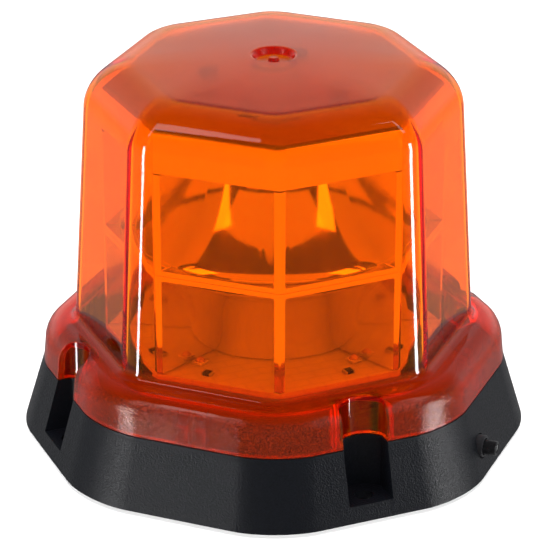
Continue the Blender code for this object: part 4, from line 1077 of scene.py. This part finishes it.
class BEACON_OT_lamps(bpy.types.Operator):
    """Lamp boards with their resistors, and the sixteen lamps"""
    bl_idname = "beacon.lamps"
    bl_label = "Lamps"

    def execute(self, context):
        scene = context.scene
        stack, lamp = scene.beacon_reflector, scene.beacon_lamp
        mask = tracked_board("white_solder_mask", lamp.mask, 0.35, 0.93, 0.35, 7.0, 4.0, 0.015)
        # Alumina resistor body with a black glaze, and tinned ends, slightly frosted.
        glaze = speckled_finish("black_glazed_ceramic", linear("1C1B1B"), 0.3, 0.6 * MM, 0.01 * MM)
        tin = speckled_finish("tinned_copper", linear("C9C9C4"), 0.32, 0.5 * MM, 0.02 * MM, Metallic=1.0)
        # Lamp package: white moulded plastic, yellow phosphor under clear silicone, gilt ring.
        white = speckled_finish("white_moulded_plastic", linear("E9E6DA"), 0.4, 0.7 * MM, 0.01 * MM)
        phosphor = speckled_finish(
            "phosphor_under_silicone", lamp.phosphor, 0.3, 0.4 * MM, 0.005 * MM, Coat_Weight=0.8)
        gilt = speckled_finish("gilt_copper", linear("D8B25A"), 0.28, 0.5 * MM, 0.01 * MM, Metallic=1.0)
        build_board(scene, "lower_lamp_board", "lower_led_board", 0.0, 1.0, mask, glaze, tin)
        build_board(
            scene, "upper_lamp_board", "upper_led_board", stack.cap_wall + 2.0 * GAP, -1.0, mask, glaze, tin)
        for tier, rises in (("lower", 1.0), ("upper", -1.0)):
            for number, (bearing, side) in enumerate(cells(stack), 1):
                node_name = f"{tier}_led_{number}"
                low, high = (corner[2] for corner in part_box(node_name))
                angle = bearing + side * math.degrees(lamp.bearing)
                base = low if rises > 0 else high
                place = radial(angle, 0.0, base) @ Matrix.Translation((0, lamp.circle, 0))
                if rises < 0:
                    place = place @ Matrix.Rotation(math.pi, 4, "Y")
                piece = build_lamp(f"{tier}_lamp_{number}", place, rises, lamp, white, phosphor, gilt)
                belongs(piece, "root", "phosphor", node_name)
        return {"FINISHED"}


# ---- Button ----

class BEACON_OT_button(bpy.types.Operator):
    """Push button and the bush that guides it"""
    bl_idname = "beacon.button"
    bl_label = "Button"

    def execute(self, context):
        scene = context.scene
        button = scene.beacon_button
        wall = button_frame(scene)[1]
        boss_face = wall - scene.beacon_base.wall - 2.4 * MM
        bush_inner = boss_face - GAP - 1.3 * MM
        collar_outer = bush_inner - GAP
        collar_inner = collar_outer - 1.2 * MM
        tail = collar_inner - 1.6 * MM - 0.6 * MM
        tip = wall + button.reach
        radius = button.radius
        # Polished acetal: glossy black with the faintest moulding haze.
        gloss = speckled_finish(
            "polished_black_acetal", button.plastic, 0.3, 1.2 * MM, 0.004 * MM, spread=0.1, contrast=0.15)
        plunger = new_piece("push_button", along_button(scene, (
            (1.7 * MM, tail), (1.7 * MM, collar_inner), (3.1 * MM, collar_inner), (3.1 * MM, collar_outer),
            (radius, collar_outer), (radius, tip - 0.5 * MM), (radius - 0.07 * MM, tip - 0.2 * MM),
            (radius - 0.25 * MM, tip - 0.03 * MM), (radius - 0.4 * MM, tip),
            (radius - 0.6 * MM, tip - 0.06 * MM),
            (radius - 0.8 * MM, tip - 0.3 * MM), (radius - 1.1 * MM, tip - 0.46 * MM),
            (radius - 1.6 * MM, tip - 0.52 * MM), (0.2 * MM, tip - 0.53 * MM))), gloss)
        belongs(plunger, "button", "black_nylon", "mode_button")
        nylon = speckled_finish(
            "moulded_black_nylon", linear("1D1D20"), 0.42, 0.8 * MM, 0.01 * MM, spread=0.12, contrast=0.2)
        bore = radius + GAP
        reach = wall + button.bush_reach
        outer = button.bush_radius
        bush = new_piece("button_guide", along_button(scene, (
            (bore, bush_inner), (4.6 * MM, bush_inner), (4.6 * MM, bush_inner + 1.3 * MM),
            (outer, bush_inner + 1.3 * MM), (outer, reach - 0.4 * MM), (outer - 0.12 * MM, reach - 0.1 * MM),
            (outer - 0.4 * MM, reach), (bore + 0.25 * MM, reach), (bore + 0.07 * MM, reach - 0.07 * MM),
            (bore, reach - 0.25 * MM)), closed=True), nylon)
        belongs(bush, "root", "black_nylon", "button_bush")
        return {"FINISHED"}


# ---- Finishes of the parts that keep their shape ----

class BEACON_OT_fittings(bpy.types.Operator):
    """Finishes of the boards, fasteners and parts that keep their own shape"""
    bl_idname = "beacon.fittings"
    bl_label = "Fittings"

    def execute(self, context):
        green = tracked_board(
            "green_glass_fibre_board", linear("1F5A34"), 0.35, 1.6, 0.5, 9.0, 3.5, 0.04)
        # Each finish: moulded rubbers and nylons are matt and faintly grained; the plate is
        # rolled aluminium, the pillars turned brass, the screws zinc-plated steel.
        finishes = {
            "moulded_black_gland_rubber": ("1B1B1D", 0.8, 0.8, 0.03, 0.0, ["cable_gland"]),
            "moulded_silicone_seal": ("3A3A3C", 0.7, 0.7, 0.03, 0.0, ["lens_seal"]),
            "moulded_grey_switch_plastic": ("34363A", 0.5, 0.8, 0.01, 0.0, ["button_switch"]),
            "rolled_aluminium_sheet": ("B9BCC0", 0.34, 1.6, 0.01, 1.0, ["carrier_plate"]),
            "turned_brass": ("B8934C", 0.28, 0.6, 0.01, 1.0, [f"standoff_{n}" for n in range(1, 5)]),
            "zinc_plated_steel": ("AEB2B6", 0.3, 0.9, 0.01, 1.0, [f"tie_screw_{n}" for n in range(1, 5)]),
            "capacitor_sleeve_film": (
                "3C4250", 0.35, 1.5, 0.01, 0.0, [f"capacitor_{n}" for n in range(1, 4)]),
            "sintered_ferrite": ("3A3735", 0.65, 0.5, 0.03, 0.0, ["inductor_1", "inductor_2"]),
            "moulded_chip_epoxy": ("1A1B1D", 0.5, 0.4, 0.02, 0.0, ["driver_chip_1", "driver_chip_2"]),
            "moulded_green_nylon": ("2C6E3F", 0.45, 0.9, 0.01, 0.0, ["power_terminal"]),
            "moulded_header_nylon": (
                "222225", 0.45, 0.8, 0.01, 0.0, ["link_socket", "lower_header", "upper_header"]),
        }
        for name, (code, rough, size, depth, metal, nodes) in finishes.items():
            material = speckled_finish(name, linear(code), rough, size * MM, depth * MM, Metallic=metal)
            for node_name in nodes:
                dress(node_name, material)
        for node_name in ("driver_board", "link_board"):
            dress(node_name, green)
        return {"FINISHED"}


def dress(node_name, material):
    """Give a carried-over CAD node its finish."""
    for slot in frame["nodes"][node_name].material_slots:
        slot.link = "OBJECT"
        slot.material = material


# ---- Stage ----

def softbox(name, watts, size, place, aim):
    light = bpy.data.lights.new(name, "AREA")
    light.shape = "RECTANGLE"
    light.size, light.size_y = size
    light.energy = watts
    lamp = bpy.data.objects.new(name, light)
    bpy.context.scene.collection.objects.link(lamp)
    lamp.location = place
    lamp.rotation_euler = (Vector(aim) - Vector(place)).to_track_quat("-Z", "Y").to_euler()
    return lamp


class BEACON_OT_stage(bpy.types.Operator):
    """Pale floor, soft lights, surroundings and the camera"""
    bl_idname = "beacon.stage"
    bl_label = "Stage"

    def execute(self, context):
        scene = context.scene
        stage = scene.beacon_stage
        bm = bmesh.new()
        bmesh.ops.create_grid(bm, x_segments=2, y_segments=2, size=4.0)
        # Painted board: pale, matt and slightly mottled.
        paint = speckled_finish(
            "matt_white_paint", stage.floor, 0.9, 60.0 * MM, 0.0, spread=0.05, contrast=0.01)
        floor = new_piece("studio_floor", bm, paint)
        # The lens mirrors the darker room below and not the bright floor, as in a tent of cloth.
        floor.visible_glossy = False

        world = bpy.data.worlds.new("studio_room")
        world.use_nodes = True
        tree = world.node_tree
        sky = tree.nodes["Background"]
        sky.inputs["Color"].default_value = (*stage.world, 1.0)
        way = node(tree, "ShaderNodeTexCoord").outputs["Generated"]
        rise = node(tree, "ShaderNodeSeparateXYZ", {"Vector": way}).outputs["Z"]
        view = math.degrees(stage.azimuth)
        behind = node(tree, "ShaderNodeVectorMath", {
            0: way, 1: around(view + 180.0, 1.0)}, operation="DOT_PRODUCT").outputs["Value"]
        upper = graded(tree, behind, stage.front_light, stage.back_light, 0.1, 0.75)
        lower = graded(tree, behind, stage.front_light, stage.table_light, -0.62, -0.4)
        fade = graded(tree, rise, 1.0, 0.3, 0.28, 0.6)
        above = node(tree, "ShaderNodeMath", {0: upper, 1: fade}, operation="MULTIPLY")
        light = graded(tree, rise, lower, above.outputs["Value"], -0.08, 0.08)
        seen = node(tree, "ShaderNodeLightPath").outputs["Is Camera Ray"]
        shown = node(tree, "ShaderNodeMath", {0: light, 1: seen}, operation="MAXIMUM")
        tree.links.new(shown.outputs["Value"], sky.inputs["Strength"])
        scene.world = world

        centre = (0.0, 0.0, 0.06)
        overhead = softbox(
            "overhead_softbox", stage.key_strength, (0.9, 0.9), around(view + 180.0, 0.10, 1.0), centre)
        overhead.visible_glossy = False
        overhead.visible_transmission = False
        overhead.visible_camera = False
        lit = bpy.data.collections.new("lit_from_the_sides")
        for piece in scene.objects:
            if piece.type == "MESH" and piece is not floor:
                lit.objects.link(piece)
        # The tall boxes draw the bright lines on the dome's corners; the panels are seen only
        # through the lens, in the mirrors behind it. In order: the name, the bearing from the
        # camera, the rise, the distance, the watts, the size, and whether gloss mirrors it.
        for name, angle, rise, away, watts, size, mirrored in (
                ("left_softbox", -59.5, -16.0, 1.6, stage.side_strength, (0.24, 1.5), True),
                ("right_softbox", 76.0, -16.0, 1.6, stage.side_strength, (0.24, 1.5), True),
                ("left_upper_softbox", -59.5, 44.0, 1.6, stage.upper_strength, (0.2, 0.8), True),
                ("right_upper_softbox", 76.0, 44.0, 1.6, stage.upper_strength, (0.2, 0.8), True),
                ("left_panel", -57.0, 26.0, 0.8, stage.panel_strength, (0.20, 0.55), False),
                ("right_panel", 57.0, 26.0, 0.8, stage.panel_strength, (0.20, 0.55), False),
                ("front_panel", 0.0, 40.0, 0.8, stage.front_strength, (1.3, 0.62), False),
                ("low_panel", 0.0, 8.0, 0.8, stage.low_strength, (0.9, 0.2), False)):
            tilt = math.radians(rise)
            place = around(view + angle, away * math.cos(tilt), 0.07 + away * math.sin(tilt))
            lamp = softbox(name, watts, size, place, (0.0, 0.0, 0.07))
            lamp.visible_glossy = mirrored
            lamp.visible_transmission = not mirrored
            lamp.visible_camera = False
            lamp.light_linking.receiver_collection = lit

        # A shadowless wash keeps the table white right up to the beacon and out to the horizon.
        wash = bpy.data.lights.new("table_wash", "SUN")
        wash.energy = stage.wash_strength
        lamp = bpy.data.objects.new("table_wash", wash)
        scene.collection.objects.link(lamp)
        table = bpy.data.collections.new("washed_table")
        table.objects.link(floor)
        lamp.light_linking.receiver_collection = table
        lamp.light_linking.blocker_collection = table

        lens = bpy.data.cameras.new("studio_camera")
        lens.lens = stage.focal_length
        lens.sensor_width = SENSOR_WIDTH
        lens.shift_x = stage.shift
        lens.clip_start = 0.01
        camera = bpy.data.objects.new("studio_camera", lens)
        scene.collection.objects.link(camera)
        flat = stage.distance * math.cos(stage.elevation)
        up = stage.distance * math.sin(stage.elevation)
        camera.location = around(view, flat, stage.target_height + up)
        target = Vector((0.0, 0.0, stage.target_height))
        camera.rotation_euler = (target - camera.location).to_track_quat("-Z", "Y").to_euler()
        scene.camera = camera
        scene.view_settings.view_transform = "Standard"
        scene.view_settings.look = "None"
        scene.cycles.max_bounces = BOUNCES
        scene.cycles.glossy_bounces = BOUNCES
        scene.cycles.transmission_bounces = BOUNCES
        scene.cycles.transparent_max_bounces = 24
        return {"FINISHED"}


class BEACON_PT_panel(bpy.types.Panel):
    """Lists the beacon's steps in the sidebar"""
    bl_idname = "BEACON_PT_panel"
    bl_label = "Warning Beacon"
    bl_space_type = "VIEW_3D"
    bl_region_type = "UI"
    bl_category = "Beacon"

    def draw(self, context):
        for operator in OPERATORS:
            self.layout.operator(operator.bl_idname)
        for name in SETTINGS:
            box = self.layout.box()
            group = getattr(context.scene, name)
            for key in group.__annotations__:
                box.prop(group, key)


OPERATORS = (
    BEACON_OT_base, BEACON_OT_pad, BEACON_OT_lens, BEACON_OT_reflectors, BEACON_OT_cap,
    BEACON_OT_lamps, BEACON_OT_button, BEACON_OT_fittings, BEACON_OT_stage,
)


def register():
    for group in SETTINGS.values():
        bpy.utils.register_class(group)
    for name, group in SETTINGS.items():
        setattr(bpy.types.Scene, name, bpy.props.PointerProperty(type=group))
    for cls in (*OPERATORS, BEACON_PT_panel):
        bpy.utils.register_class(cls)


def unregister():
    for cls in (BEACON_PT_panel, *reversed(OPERATORS)):
        bpy.utils.unregister_class(cls)
    for name, group in SETTINGS.items():
        delattr(bpy.types.Scene, name)
        bpy.utils.unregister_class(group)


def main():
    register()
    for operator in OPERATORS:
        category, name = operator.bl_idname.split(".")
        getattr(getattr(bpy.ops, category), name)()


if __name__ == "__main__":
    main()
